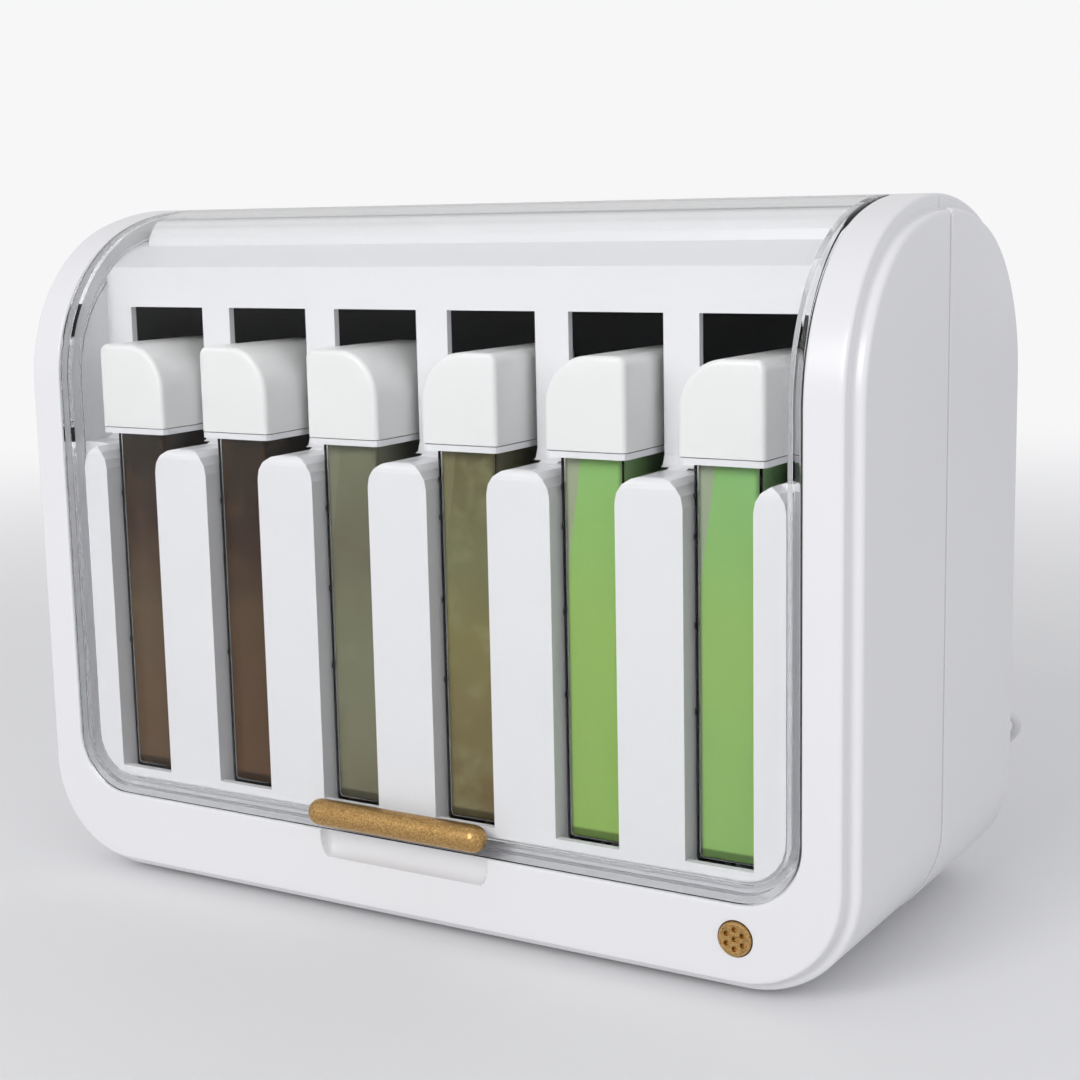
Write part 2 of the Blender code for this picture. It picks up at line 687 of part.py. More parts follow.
def make_handle(gold, hinge):
    """Round-ended bar with an oval section, flat where it lies on the lid."""
    half = HANDLE_LENGTH / 2
    half_height = HANDLE_HEIGHT / 2
    half_depth = HANDLE_PROUD * 0.6
    middle = HANDLE_PROUD - half_depth
    height = LID_BOTTOM + HANDLE_RISE
    rings = []
    angles = [math.pi / 2 * (step + HANDLE_TIP_SHARE) / HANDLE_RINGS for step in range(HANDLE_RINGS)]
    stations = [(half_height * (1 - math.cos(angle)) - half, math.sin(angle)) for angle in angles]
    stations += [(half_height - half, 1.0)]
    stations += [(-x, size) for x, size in reversed(stations)]
    for x, size in stations:
        ring = []
        for k in range(HANDLE_SIDES):
            angle = 2 * math.pi * k / HANDLE_SIDES
            ring.append(Vector((
                x, -middle + half_depth * size * math.cos(angle), height + half_height * size * math.sin(angle))))
        rings.append(ring)
    handle = link(loft("handle", rings))
    reach = half + OVERRUN
    cut(handle, prism("flat", rectangle(-reach, reach, 0.0, HEIGHT / 2), "Y", -GAP, HANDLE_PROUD))
    return finish(handle, "lid_handle", gold, hinge)


# Tray

def tray_profile():
    """Side outline of the tray: front wall, shelf, window wall, slope and hinge cover, one wall thick."""
    wall = TRAY_WALL
    front = TRAY_SETBACK
    cover = (COVER_REACH, arch_height(COVER_REACH, LID_THICKNESS + LID_GAP + COVER_RADIUS))
    outside = [(front, TRAY_BOTTOM)]
    outside += arc((front + SHELF_ROUND, SHELF_HEIGHT - SHELF_ROUND), SHELF_ROUND, 180, 90, PROFILE_STEPS)
    outside += arc(
        (WINDOW_SETBACK - SHELF_FILLET, SHELF_HEIGHT + SHELF_FILLET), SHELF_FILLET, -90, 0, PROFILE_STEPS // 2)
    outside += [(WINDOW_SETBACK, WALL_TOP), (SLOPE_REACH, SLOPE_TOP)]
    outside += arc(cover, COVER_RADIUS, 180, 0, PROFILE_STEPS * 2)
    bottom = cover[1] - wall
    inside = [(cover[0] + COVER_RADIUS, bottom), (cover[0] + COVER_RADIUS - wall, bottom)]
    inside += arc(cover, COVER_RADIUS - wall, 0, 160, PROFILE_STEPS)
    inside += [(SLOPE_REACH + wall, SLOPE_TOP - wall), (TRAY_BACK, WALL_TOP - wall / 2)]
    inside += arc(
        (TRAY_BACK - SHELF_FILLET - wall, SHELF_HEIGHT + SHELF_FILLET), SHELF_FILLET + wall, 0, -90, PROFILE_STEPS // 2)
    inside += arc(
        (front + SHELF_ROUND, SHELF_HEIGHT - SHELF_ROUND), SHELF_ROUND - wall, 90, 180, PROFILE_STEPS)
    inside += [(front + wall, TRAY_BOTTOM)]
    return outside + inside


def tray_ring(name, outer, inner, low, high):
    """Upright rim that follows the tray's rounded bottom, between two growths of its outline."""
    top = SHELF_HEIGHT - EMBED
    ring = prism(name, cradle_outline(TRAY_HALF + outer, TRAY_BOTTOM - outer, TRAY_CORNER + outer, top), "Y", low, high)
    hole = cradle_outline(TRAY_HALF + inner, TRAY_BOTTOM - inner, TRAY_CORNER + inner, top + OVERRUN)
    return cut(ring, prism("ring_hole", hole, "Y", low - OVERRUN, high + OVERRUN))


def slot_outline(x, grow, bottom):
    """Front outline of a slot: straight sides that flare out under the shelf, grown by grow."""
    half = SLOT_WIDTH / 2
    start = SHELF_HEIGHT - SHELF_CORNER
    radius = SHELF_CORNER - grow
    top = SHELF_HEIGHT + (EMBED - TRAY_WALL if grow else EMBED)
    right = [point for point in arc((half + SHELF_CORNER, start), radius, 180, 90, PROFILE_STEPS) if point[1] < top]
    right.append((right[-1][0] if grow else half + SHELF_CORNER, top))
    outline = [(half + grow, bottom)] + right
    return [(x - a, b) for a, b in reversed(outline)] + [(x + a, b) for a, b in outline]


def column_outline():
    """Front outline of the lower tray: rounded bottom corners and, at the shelf, rounded outer shoulders."""
    outline = cradle_outline(TRAY_HALF, TRAY_BOTTOM, TRAY_CORNER, SHELF_HEIGHT)[2:]
    across = TRAY_HALF - SHELF_CORNER
    centre_height = SHELF_HEIGHT - SHELF_CORNER
    right = arc((across, centre_height), SHELF_CORNER, 0, 90, PROFILE_STEPS)
    left = arc((-across, centre_height), SHELF_CORNER, 90, 180, PROFILE_STEPS)
    return right + left + outline


def shoulder_outline(side):
    """Front outline of the curved wall under an outer shoulder of the columns."""
    centre = (TRAY_HALF - SHELF_CORNER, SHELF_HEIGHT - SHELF_CORNER)
    outside = arc(centre, SHELF_CORNER - GAP / 3, 0, 90, PROFILE_STEPS)
    inside = arc(centre, SHELF_CORNER - TRAY_WALL, 90, 0, PROFILE_STEPS)
    return [(side * x, z) for x, z in outside + inside]


def tray_space():
    """Room the tray may fill: the columns, the window wall above them and, behind the housing's wall, its sides."""
    low = SHELF_HEIGHT - TRAY_WALL - EMBED
    space = prism("columns", column_outline(), "Y", -OVERRUN, MIDDLE + OVERRUN)
    wide = rectangle(-WINDOW_HALF, WINDOW_HALF, low, HEIGHT + OVERRUN)
    half = SIDE_HALF - EMBED / 2
    behind = prism("behind", arch_outline(SIDE_FRONT + EMBED / 2, low), "X", -half, half)
    return add(space, prism("wide", wide, "Y", SIDE_FRONT, MIDDLE + 2 * OVERRUN), behind)


def make_tray(white, parent):
    reach = SIDE_HALF + OVERRUN
    tray = prism("tray", tray_profile(), "X", -reach, reach)

    # Slot walls that turn in and flare out into the rounded tops of the columns
    behind = TRAY_SETBACK + TRAY_WALL
    for index in range(SLOT_COUNT):
        x = slot_centre(index)
        flare = SHELF_HEIGHT - SHELF_CORNER
        add(tray, prism("guide", slot_outline(x, SLOT_CHEEK, TRAY_BOTTOM), "Y", behind - EMBED, SLOT_END))
        add(tray, prism("flare", slot_outline(x, SLOT_CHEEK, flare), "Y", SLOT_END - EMBED, TRAY_BACK - EMBED))
    keep(tray, tray_space())

    # Rim that closes the tray's outside, and the flange that lies behind the wall around the opening
    back = SIDE_FRONT + TRAY_WALL
    skirt = tray_ring("skirt", 0.0, -TRAY_WALL, behind - EMBED, back)
    keep(skirt, prism("skirt_shoulders", column_outline(), "Y", 0.0, MIDDLE))
    add(tray, skirt, tray_ring("flange", TRAY_FLANGE, -EMBED, SIDE_FRONT, back))
    side_outline = arch_outline(SIDE_FRONT, SHELF_HEIGHT - TRAY_WALL / 2)
    for side, _ in both_sides():
        add(tray, prism("shoulder", shoulder_outline(side), "Y", behind - EMBED, back - EMBED))

        # Side wall beside the window wall, and the end of the slope that runs on past the hinge cover
        wall = prism("side_wall", side_outline, "X", *sorted((side * OPENING_HALF, side * SIDE_HALF)))
        keep(wall, prism("side_depth", rectangle(
            -SIDE_HALF - OVERRUN, SIDE_HALF + OVERRUN, 0.0, HEIGHT), "Y", 0.0, TRAY_BACK - EMBED / 2))
        add(tray, wall)
        past = sorted((side * COVER_HALF, side * (SIDE_HALF + OVERRUN)))
        cut(tray, prism("cover_end", rectangle(SLOPE_REACH, MIDDLE, SHELF_HEIGHT, HEIGHT), "X", *past))
        run_on = [
            (SLOPE_REACH - EMBED, SLOPE_TOP - TRAY_WALL), (SLOPE_END, SLOPE_END_TOP - TRAY_WALL),
            (SLOPE_END, SLOPE_END_TOP), (SLOPE_REACH, SLOPE_TOP), (SLOPE_REACH - EMBED, SLOPE_TOP - EMBED)]
        ends = sorted((side * (COVER_HALF - EMBED), side * (WINDOW_HALF - GAP / 3)))
        add(tray, prism("slope_end", run_on, "X", *ends))

    for index in range(SLOT_COUNT):
        x = slot_centre(index)
        half = SLOT_WIDTH / 2
        lip = SLOT_FLOOR + SLOT_LIP
        cut(tray, prism("slot", slot_outline(x, 0.0, lip), "Y", 0.0, TRAY_BACK + OVERRUN))
        cut(tray, prism("floor", rectangle(x - half, x + half, SLOT_FLOOR, SHELF_HEIGHT / 2),
                        "Y", behind, TRAY_BACK + OVERRUN))
        half = WINDOW_WIDTH / 2
        cut(tray, prism("window", rectangle(x - half, x + half, SHELF_HEIGHT, WINDOW_TOP),
                        "Y", WINDOW_SETBACK - SHELF_FILLET - EMBED, TRAY_BACK + OVERRUN))
    return finish(tray, "inner_tray", white, parent)


# Heated chamber

def make_chamber(black, parent):
    sheet = CHAMBER_SHEET
    low = SLOT_END + GAP
    high = TRAY_BACK + GAP
    outline = [
        (low, CHAMBER_FLOOR), (CHAMBER_BACK, CHAMBER_FLOOR), (CHAMBER_BACK, CHAMBER_TOP), (high, CHAMBER_TOP),
        (high, CHAMBER_TOP - sheet), (CHAMBER_BACK - sheet, CHAMBER_TOP - sheet),
        (CHAMBER_BACK - sheet, CHAMBER_FLOOR + sheet), (low, CHAMBER_FLOOR + sheet)]
    chamber = prism("chamber", outline, "X", -CHAMBER_HALF, CHAMBER_HALF)
    ends = [
        (low, CHAMBER_FLOOR), (CHAMBER_BACK - sheet / 2, CHAMBER_FLOOR),
        (CHAMBER_BACK - sheet / 2, CHAMBER_TOP - sheet / 2),
        (high, CHAMBER_TOP - sheet / 2), (high, BLOCK_TOP), (low, BLOCK_TOP)]
    for side, _ in both_sides():
        span = sorted((side * CHAMBER_HALF, side * (CHAMBER_HALF - sheet)))
        shrunk = [(y, max(z, CHAMBER_FLOOR + sheet / 2)) for y, z in ends]
        add(chamber, prism("end", shrunk, "X", span[0], span[1]))
    return finish(chamber, "heat_chamber", black, parent)


def block_outline(grow):
    """Plan of the heater block: a back plate with a fin on each side of every cartridge."""
    half = SLOT_WIDTH / 2
    front = SLOT_END + GAP
    outline = [(-BLOCK_HALF, BLOCK_FACE + BLOCK_BACK), (-BLOCK_HALF, front)]
    for index in range(SLOT_COUNT):
        x = slot_centre(index)
        outline += [(x - half, front), (x - half, BLOCK_FACE), (x + half, BLOCK_FACE), (x + half, front)]
        if index < SLOT_COUNT - 1:
            after = slot_centre(index + 1) - half - BLOCK_FIN
            outline += [
                (x + half + BLOCK_FIN, front), (x + half + BLOCK_FIN, BLOCK_FACE), (after, BLOCK_FACE), (after, front)]
    return outline + [(BLOCK_HALF, front), (BLOCK_HALF, BLOCK_FACE + BLOCK_BACK)]


def make_heater_block(aluminium, parent):
    floor = CHAMBER_FLOOR + CHAMBER_SHEET + GAP
    block = prism("block", block_outline(0.0), "Z", floor, BLOCK_TOP)
    base = prism("base", rectangle(
        -BLOCK_HALF + EMBED, BLOCK_HALF - EMBED, SLOT_END + GAP + EMBED, BLOCK_FACE + EMBED), "Z", floor + EMBED, SLOT_FLOOR)
    return finish(add(block, base), "heater_block", aluminium, parent)


def make_heating_parts(film_look, steel, white, parent):
    """Heating film on the back of the block, with the thermostat and the thermal fuse beside it."""
    back = BLOCK_FACE + BLOCK_BACK + GAP
    low = CHAMBER_FLOOR + CHAMBER_SHEET + FILM_MARGIN
    half = BLOCK_HALF - FILM_MARGIN
    film = prism("film", rounded_rectangle(-half, half, low, BLOCK_TOP - FILM_MARGIN, FILM_MARGIN / 2), "Y",
                 back, back + FILM_THICKNESS)
    finish(film, "heating_film", film_look, parent)
    face = CHAMBER_BACK + GAP
    disc = turned("disc", "Y", (0.0, THERMOSTAT_HEIGHT), [
        (face, THERMOSTAT_RADIUS), (face + THERMOSTAT_THICKNESS * 0.6, THERMOSTAT_RADIUS),
        (face + THERMOSTAT_THICKNESS * 0.6, THERMOSTAT_RADIUS * 0.7),
        (face + THERMOSTAT_THICKNESS, THERMOSTAT_RADIUS * 0.7)], SCREW_SIDES)
    finish(disc, "thermostat", steel, parent, (0.0, face, THERMOSTAT_HEIGHT))
    centre = (face + FUSE_RADIUS, THERMOSTAT_HEIGHT)
    fuse = turned("fuse", "X", centre, [
        (FUSE_OFFSET, FUSE_RADIUS), (FUSE_OFFSET + FUSE_LENGTH * 0.8, FUSE_RADIUS),
        (FUSE_OFFSET + FUSE_LENGTH, FUSE_RADIUS * 0.4)], SCREW_SIDES)
    finish(fuse, "thermal_fuse", white, parent, (FUSE_OFFSET, *centre))


# Power button, switch and board

def switch_front():
    return BUTTON_STEM_REACH + BUTTON_TRAVEL + GAP


def board_front():
    return switch_front() + SWITCH_DEPTH + GAP


def board_span():
    right = BUTTON_X + SWITCH_SIZE + 2 * BOARD_POST_INSET
    return right - BOARD_LENGTH, right


def board_posts():
    low, high = board_span()
    return low + BOARD_POST_INSET, high - BOARD_POST_INSET


def make_button(gold, parent):
    """Perforated cap with a rim that holds it behind the panel and a stem that reaches for the switch."""
    face = -BUTTON_PROUD
    rim = WALL + GAP
    profile = [
        (face, BUTTON_RADIUS * 0.9), (face + BUTTON_PROUD * 0.35, BUTTON_RADIUS), (rim, BUTTON_RADIUS),
        (rim, BUTTON_RADIUS + BUTTON_RIM), (rim + BUTTON_RIM, BUTTON_RADIUS + BUTTON_RIM),
        (rim + BUTTON_RIM, BUTTON_STEM_RADIUS), (BUTTON_STEM_REACH, BUTTON_STEM_RADIUS)]
    button = turned("button", "Y", (BUTTON_X, BUTTON_Z), profile, BUTTON_SIDES)
    holes = [(0.0, 0.0)]
    for k in range(BUTTON_HOLES):
        angle = 2 * math.pi * k / BUTTON_HOLES + math.pi / 2
        holes.append((BUTTON_HOLE_RING * math.cos(angle), BUTTON_HOLE_RING * math.sin(angle)))
    for x, z in holes:
        cut(button, turned("hole", "Y", (BUTTON_X + x, BUTTON_Z + z), [
            (face - OVERRUN, BUTTON_HOLE_RADIUS), (face + BUTTON_HOLE_DEPTH, BUTTON_HOLE_RADIUS)], BUTTON_SIDES // 3))
    return finish(button, "power_button", gold, parent, (BUTTON_X, 0.0, BUTTON_Z))


def make_electronics(black, green, parent):
    half = SWITCH_SIZE / 2
    switch = prism("switch", rectangle(
        BUTTON_X - half, BUTTON_X + half, BUTTON_Z - half, BUTTON_Z + half),
        "Y", switch_front(), switch_front() + SWITCH_DEPTH)
    finish(switch, "button_switch", black, parent)
    low, high = board_span()
    half = BOARD_HEIGHT / 2
    board = prism("board", rectangle(low, high, BUTTON_Z - half, BUTTON_Z + half),
                  "Y", board_front(), board_front() + BOARD_THICKNESS)
    finish(board, "control_board", green, parent)


# Cartridges: body, wax, head, roller and cap, each built at x = 0 and moved to its slot

def tube_outline(width, front, back, radius):
    return rounded_rectangle(-width / 2, width / 2, front, back, radius)


def cartridge_body():
    body = prism("body", tube_outline(BODY_WIDTH, BODY_FRONT, BODY_BACK, BODY_ROUND), "Z", BODY_BOTTOM, RING_BOTTOM - GAP)
    inner = tube_outline(
        BODY_WIDTH - 2 * BODY_WALL, BODY_FRONT + BODY_WALL, BODY_BACK - BODY_WALL, BODY_ROUND - BODY_WALL)
    return cut(body, prism("inside", inner, "Z", BODY_BOTTOM + BODY_WALL, RING_BOTTOM + OVERRUN))


def wax_fill(level):
    inset = BODY_WALL + GAP
    outline = tube_outline(BODY_WIDTH - 2 * inset, BODY_FRONT + inset, BODY_BACK - inset, BODY_ROUND - BODY_WALL)
    low = BODY_BOTTOM + inset
    high = RING_BOTTOM - HEAD_PLUG - GAP
    return prism("wax", outline, "Z", low, low + (high - low) * level)


def roller_centre():
    return (0.0, RING_BOTTOM + RING_HEIGHT + ROLLER_LIFT)


def roller_span():
    middle = BODY_FRONT + BODY_DEPTH / 2
    return middle - ROLLER_LENGTH / 2, middle + ROLLER_LENGTH / 2


def cartridge_head():
    """Ring, plug into the body, collar for the cap, and two ears that hold the roller over the mouth."""
    top = RING_BOTTOM + RING_HEIGHT
    ring = prism("head", tube_outline(CAP_WIDTH, CAP_FRONT, CAP_FRONT + CAP_DEPTH, CAP_ROUND), "Z", RING_BOTTOM, top)
    inset = CAP_WALL + GAP
    collar = tube_outline(CAP_WIDTH - 2 * inset, CAP_FRONT + inset, CAP_FRONT + CAP_DEPTH - inset, CAP_ROUND / 2)
    add(ring, prism("collar", collar, "Z", top - EMBED, top + COLLAR_HEIGHT))
    inset = BODY_WALL + GAP
    plug = tube_outline(BODY_WIDTH - 2 * inset, BODY_FRONT + inset, BODY_BACK - inset, BODY_ROUND - BODY_WALL)
    add(ring, prism("plug", plug, "Z", RING_BOTTOM - HEAD_PLUG, RING_BOTTOM + EMBED))
    front, back = roller_span()
    centre = roller_centre()
    width = ROLLER_RADIUS
    for low, high in ((front - GAP - ROLLER_EAR, front - GAP), (back + GAP, back + GAP + ROLLER_EAR)):
        outline = [(width / 2, centre[1])] + arc(centre, width / 2, 0, 180, PROFILE_STEPS)[1:]
        outline += [(-width, top + EMBED), (width, top + EMBED)]
        add(ring, prism("ear", outline, "Y", low, high))
    middle = BODY_FRONT + BODY_DEPTH / 2
    half = HEAD_MOUTH_DEPTH / 2
    mouth = rounded_rectangle(
        -HEAD_MOUTH_WIDTH / 2, HEAD_MOUTH_WIDTH / 2, middle - half, middle + half, BODY_ROUND)
    cut(ring, prism("mouth", mouth, "Z", RING_BOTTOM - HEAD_PLUG - OVERRUN, top + COLLAR_HEIGHT + OVERRUN))
    trough = ROLLER_RADIUS + GAP
    cut(ring, turned("trough", "Y", centre, [(front - GAP, trough), (back + GAP, trough)], ROLLER_SIDES))
    cut(ring, turned("axle_hole", "Y", centre, [
        (front - GAP - ROLLER_EAR - OVERRUN, AXLE_RADIUS + GAP),
        (back + GAP + ROLLER_EAR + OVERRUN, AXLE_RADIUS + GAP)], SCREW_SIDES))
    return ring


def roller():
    front, back = roller_span()
    profile = [
        (front - AXLE_REACH, AXLE_RADIUS), (front, AXLE_RADIUS), (front, ROLLER_RADIUS - ROLLER_ROUND),
        (front + ROLLER_ROUND, ROLLER_RADIUS), (back - ROLLER_ROUND, ROLLER_RADIUS),
        (back, ROLLER_RADIUS - ROLLER_ROUND), (back, AXLE_RADIUS), (back + AXLE_REACH, AXLE_RADIUS)]
    return turned("roller", "Y", roller_centre(), profile, ROLLER_SIDES)


def cap_outline(inset, bottom, side):
    """Front outline of a cap: one large round shoulder on the given side and a small one on the other."""
    half = CAP_WIDTH / 2 - inset
    top = bottom + CAP_HEIGHT - inset
    large = CAP_CORNER - inset
    small = max(CAP_ROUND - inset, GAP)
    points = [(-half, bottom), (half, bottom)]
    points += arc((half - large, top - large), large, 0, 90, CAP_STEPS)
    points += arc((-half + small, top - small), small, 90, 180, ROUND_STEPS)
    return [(side * x, z) for x, z in points]


def cap_shell(bottom, side):
    """Cap with softened front and back edges, hollowed from below."""
    ring = CAP_ROUND * 0.75
    back = CAP_FRONT + CAP_DEPTH
    rings = []
    for depth, inset in ((CAP_FRONT, ring), (CAP_FRONT + ring * 0.35, ring * 0.3), (CAP_FRONT + ring, 0.0),
                         (back - ring, 0.0), (back - ring * 0.35, ring * 0.3), (back, ring)):
        half = CAP_WIDTH / 2 - inset
        scale_x = half / (CAP_WIDTH / 2)
        scale_z = (CAP_HEIGHT - inset) / CAP_HEIGHT
        rings.append([
            place("Y", depth, (x * scale_x, bottom + (z - bottom) * scale_z))
            for x, z in cap_outline(0.0, bottom, side)])
    cap = link(loft("cap", rings))
    inner = [(x, z if z > bottom else bottom - OVERRUN) for x, z in cap_outline(CAP_WALL, bottom, side)]
    return cut(cap, prism("hollow", inner, "Y", CAP_FRONT + CAP_WALL, CAP_FRONT + CAP_DEPTH - CAP_WALL))


def empty(name, location, parent):
    made = link(bpy.data.objects.new(name, None))
    made.location = location
    made.parent = parent
    return made


def make_cartridges(looks, parent):
    """Six cartridges; the caps of the right-hand three turn their round shoulder the other way."""
    for index in range(SLOT_COUNT):
        number = index + 1
        seat = empty(f"cartridge_{number}", (slot_centre(index), 0.0, 0.0), parent)
        finish(cartridge_body(), f"cartridge_body_{number}", looks["bottle"], seat)
        finish(wax_fill(WAX_LEVEL_SHARES[index]), f"wax_{number}", looks["wax"][index], seat)
        finish(cartridge_head(), f"roller_head_{number}", looks["white"], seat)
        middle = BODY_FRONT + BODY_DEPTH / 2
        finish(roller(), f"roller_{number}", looks["white"], seat, (0.0, middle, roller_centre()[1]))
        side = 1 if index < SLOT_COUNT / 2 else -1
        bottom = RING_BOTTOM + RING_HEIGHT + GAP
        finish(cap_shell(bottom, side), f"cap_{number}", looks["white"], seat)


# Strain relief of the mains lead

def make_cord_grip(white, parent):
    inside = DEPTH - WALL - GAP
    profile = [
        (inside - GRIP_RADIUS / 2, GRIP_FLANGE_RADIUS), (inside, GRIP_FLANGE_RADIUS), (inside, GRIP_RADIUS),
        (DEPTH + GAP, GRIP_RADIUS), (DEPTH + GRIP_LENGTH, CORD_DIAMETER * 0.75)]
    grip = turned("grip", "Y", (GRIP_X, GRIP_HEIGHT), profile, GRIP_SIDES)
    return finish(grip, "cord_grip", white, parent, (GRIP_X, DEPTH, GRIP_HEIGHT))


def smooth_route(points, count):
    """Evenly spaced points of the smooth curve through the given points."""
    fine = []
    padded = [points[0]] + points + [points[-1]]
    for index in range(1, len(padded) - 2):
        before, start, end, after = (Vector(point) for point in padded[index - 1:index + 3])
        for step in range(20):
            t = step / 20
            fine.append(0.5 * (
                2 * start + (end - before) * t + (2 * before - 5 * start + 4 * end - after) * t ** 2
                + (3 * start - before - 3 * end + after) * t ** 3))
    fine.append(Vector(points[-1]))
    lengths = [0.0]
    for a, b in zip(fine, fine[1:]):
        lengths.append(lengths[-1] + (b - a).length)
    even = []
    at = 0
    for step in range(count):
        wanted = lengths[-1] * step / (count - 1)
        while at < len(fine) - 2 and lengths[at + 1] < wanted:
            at += 1
        share = (wanted - lengths[at]) / (lengths[at + 1] - lengths[at])
        even.append(fine[at].lerp(fine[at + 1], share))
    return even


def tube(name, points, resolution):
    """Round tube along the points, closed at both ends."""
    curve = bpy.data.curves.new(name, "CURVE")
    curve.dimensions = "3D"
    curve.bevel_depth = CORD_DIAMETER / 2
    curve.bevel_resolution = resolution
    curve.use_fill_caps = True
    spline = curve.splines.new("POLY")
    spline.points.add(len(points) - 1)
    for target, point in zip(spline.points, points):
        target.co = (*point, 1.0)
    return link(bpy.data.objects.new(name, curve))


def coil_centre():
    """The lead comes in along the near side of the coil."""
    return COIL_X, CORD_ROUTE[-1][1] * MM + coil_radii()[0]


def coil_radii():
    """Radius of the outermost and the innermost turn."""
    spread = COIL_PITCH * COIL_TURNS / 4
    return COIL_MIDDLE_RADIUS + spread, COIL_MIDDLE_RADIUS - spread


def coil_points():
    """Two layers: in along the floor, one layer up in the half turn where the spiral reverses, out on top."""
    outer, inner = coil_radii()
    x, y = coil_centre()
    low = CORD_DIAMETER / 2
    points = [Vector((x + CORD_DIAMETER, y - outer, low))]
    steps = round(COIL_TURNS * COIL_POINTS)
    for step in range(steps + 1):
        turn = step / COIL_POINTS
        from_middle = turn - COIL_TURNS / 2
        radius = inner + COIL_PITCH * abs(from_middle)
        climb = min(max(from_middle * 2 + 0.5, 0.0), 1.0)
        height = low + COIL_LAYER * climb * climb * (3 - 2 * climb)
        angle = math.radians(-90 - 360 * turn)
        points.append(Vector((x + radius * math.cos(angle), y + radius * math.sin(angle), height)))
    points += [Vector((x + COIL_RUN_OUT * share, y + outer, low + COIL_LAYER)) for share in (0.15, 0.5, 1.0)]
    return points


def least_gap(points):
    """Smallest clear distance between turns that are not next to each other along the tube."""
    apart = COIL_POINTS // 3
    closest = min(
        (points[i] - points[j]).length
        for i in range(len(points)) for j in range(i + apart, len(points)))
    return closest - CORD_DIAMETER


def make_cord(plastic, metal, parent):
    route = smooth_route([tuple(value * MM for value in point) for point in CORD_ROUTE], CORD_POINTS)
    cord = tube("cord", route, 2)
    cord.data.materials.append(plastic)
    cord.parent = parent
    turns = coil_points()
    coil = tube("cord_coil", turns, 1)
    coil.data.materials.append(plastic)
    coil.parent = parent
    print(f"least gap between the turns of the coil: {least_gap(turns) / MM:.2f} mm")
    length = sum((b - a).length for line in (route, turns) for a, b in zip(line, line[1:]))
    print(f"length of the lead: {length:.3f} m")

    # Plug: tapered neck, rounded body and two flat blades set into its face
    start = turns[-1] + Vector((GAP, 0.0, 0.0))
    body_half = (PLUG_WIDTH / 2, PLUG_THICKNESS / 2)
    neck_half = (CORD_DIAMETER * 0.85, CORD_DIAMETER * 0.85)
    face = start.x + PLUG_NECK + PLUG_LENGTH
    stations = (
        (start.x, neck_half, neck_half[0] * 0.9), (start.x + PLUG_NECK, neck_half, neck_half[0] * 0.9),
        (start.x + PLUG_NECK + PLUG_ROUND, (body_half[0] * 0.72, body_half[1] * 0.9), PLUG_ROUND),
        (start.x + PLUG_NECK + PLUG_LENGTH / 2, body_half, PLUG_ROUND), (face, body_half, PLUG_ROUND))
    rings = []
    for x, half, radius in stations:
        outline = rounded_rectangle(
            start.y - half[0], start.y + half[0], start.z - half[1], start.z + half[1], radius, PROFILE_STEPS - 1)
        rings.append([Vector((x, y, z)) for y, z in outline])
    plug = link(loft("plug", rings))
    for side, label in both_sides():
        y = start.y + side * BLADE_SPACING / 2
        pocket = rectangle(
            y - BLADE_THICKNESS / 2 - GAP, y + BLADE_THICKNESS / 2 + GAP,
            start.z - BLADE_WIDTH / 2 - GAP, start.z + BLADE_WIDTH / 2 + GAP)
        cut(plug, prism("pocket", pocket, "X", face - BLADE_DEPTH, face + OVERRUN))
        blade = rectangle(
            y - BLADE_THICKNESS / 2, y + BLADE_THICKNESS / 2, start.z - BLADE_WIDTH / 2, start.z + BLADE_WIDTH / 2)
        finish(prism("blade", blade, "X", face - BLADE_DEPTH + GAP, face + BLADE_LENGTH),
               f"plug_blade_{label}", metal, parent)
    finish(plug, "plug", plastic, parent)


def clear_scene():
    for obj in list(bpy.data.objects):
        bpy.data.objects.remove(obj)


def main():
    clear_scene()
    white = material("white_plastic", (0.86, 0.86, 0.87), 0.3)
    clear = material("clear_acrylic", (0.95, 0.96, 0.97), 0.05, transmission=0.95)
    gold = material("gold_metal", (0.62, 0.33, 0.09), 0.35, metallic=1.0)
    steel = material("steel", (0.6, 0.6, 0.62), 0.35, metallic=1.0)
    rubber = material("foot_rubber", (0.75, 0.75, 0.76), 0.7)
    black = material("black_sheet", (0.02, 0.02, 0.022), 0.4)
    aluminium = material("aluminium", (0.5, 0.5, 0.52), 0.45, metallic=1.0)
    film = material("heating_film", (0.45, 0.22, 0.05), 0.5)
    green = material("circuit_board", (0.02, 0.16, 0.06), 0.5)
    wax_colours = (
        (0.06, 0.025, 0.01), (0.05, 0.02, 0.01), (0.22, 0.23, 0.14),
        (0.22, 0.17, 0.05), (0.33, 0.56, 0.16), (0.33, 0.56, 0.16))
    looks = {
        "white": white,
        "bottle": material("clear_bottle", (0.8, 0.85, 0.78), 0.12, transmission=0.9),
        "wax": [material(f"wax_{number}", colour, 0.3) for number, colour in enumerate(wax_colours, 1)],
    }

    base = empty("heater", (0.0, -ORIGIN_DEPTH, 0.0), None)
    make_front_shell(white, base)
    make_rear_shell(white, base)
    make_feet(rubber, base)
    make_screws(steel, base)
    make_tray(white, base)
    make_chamber(black, base)
    make_heater_block(aluminium, base)
    make_heating_parts(film, steel, white, base)
    make_button(gold, base)
    make_electronics(black, green, base)
    hinge = empty("lid_hinge", (0.0, HINGE_REACH, hinge_height()), base)
    lid = make_lid(clear, hinge)
    handle = make_handle(gold, hinge)
    for piece in (lid, handle):
        piece.location = -Vector(hinge.location)
    make_hinge_pins(steel, base)
    make_cartridges(looks, base)
    make_cord_grip(white, base)
    make_cord(white, steel, base)


main()
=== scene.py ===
import math

import bmesh
import bpy
import numpy as np
from mathutils import Matrix, Vector

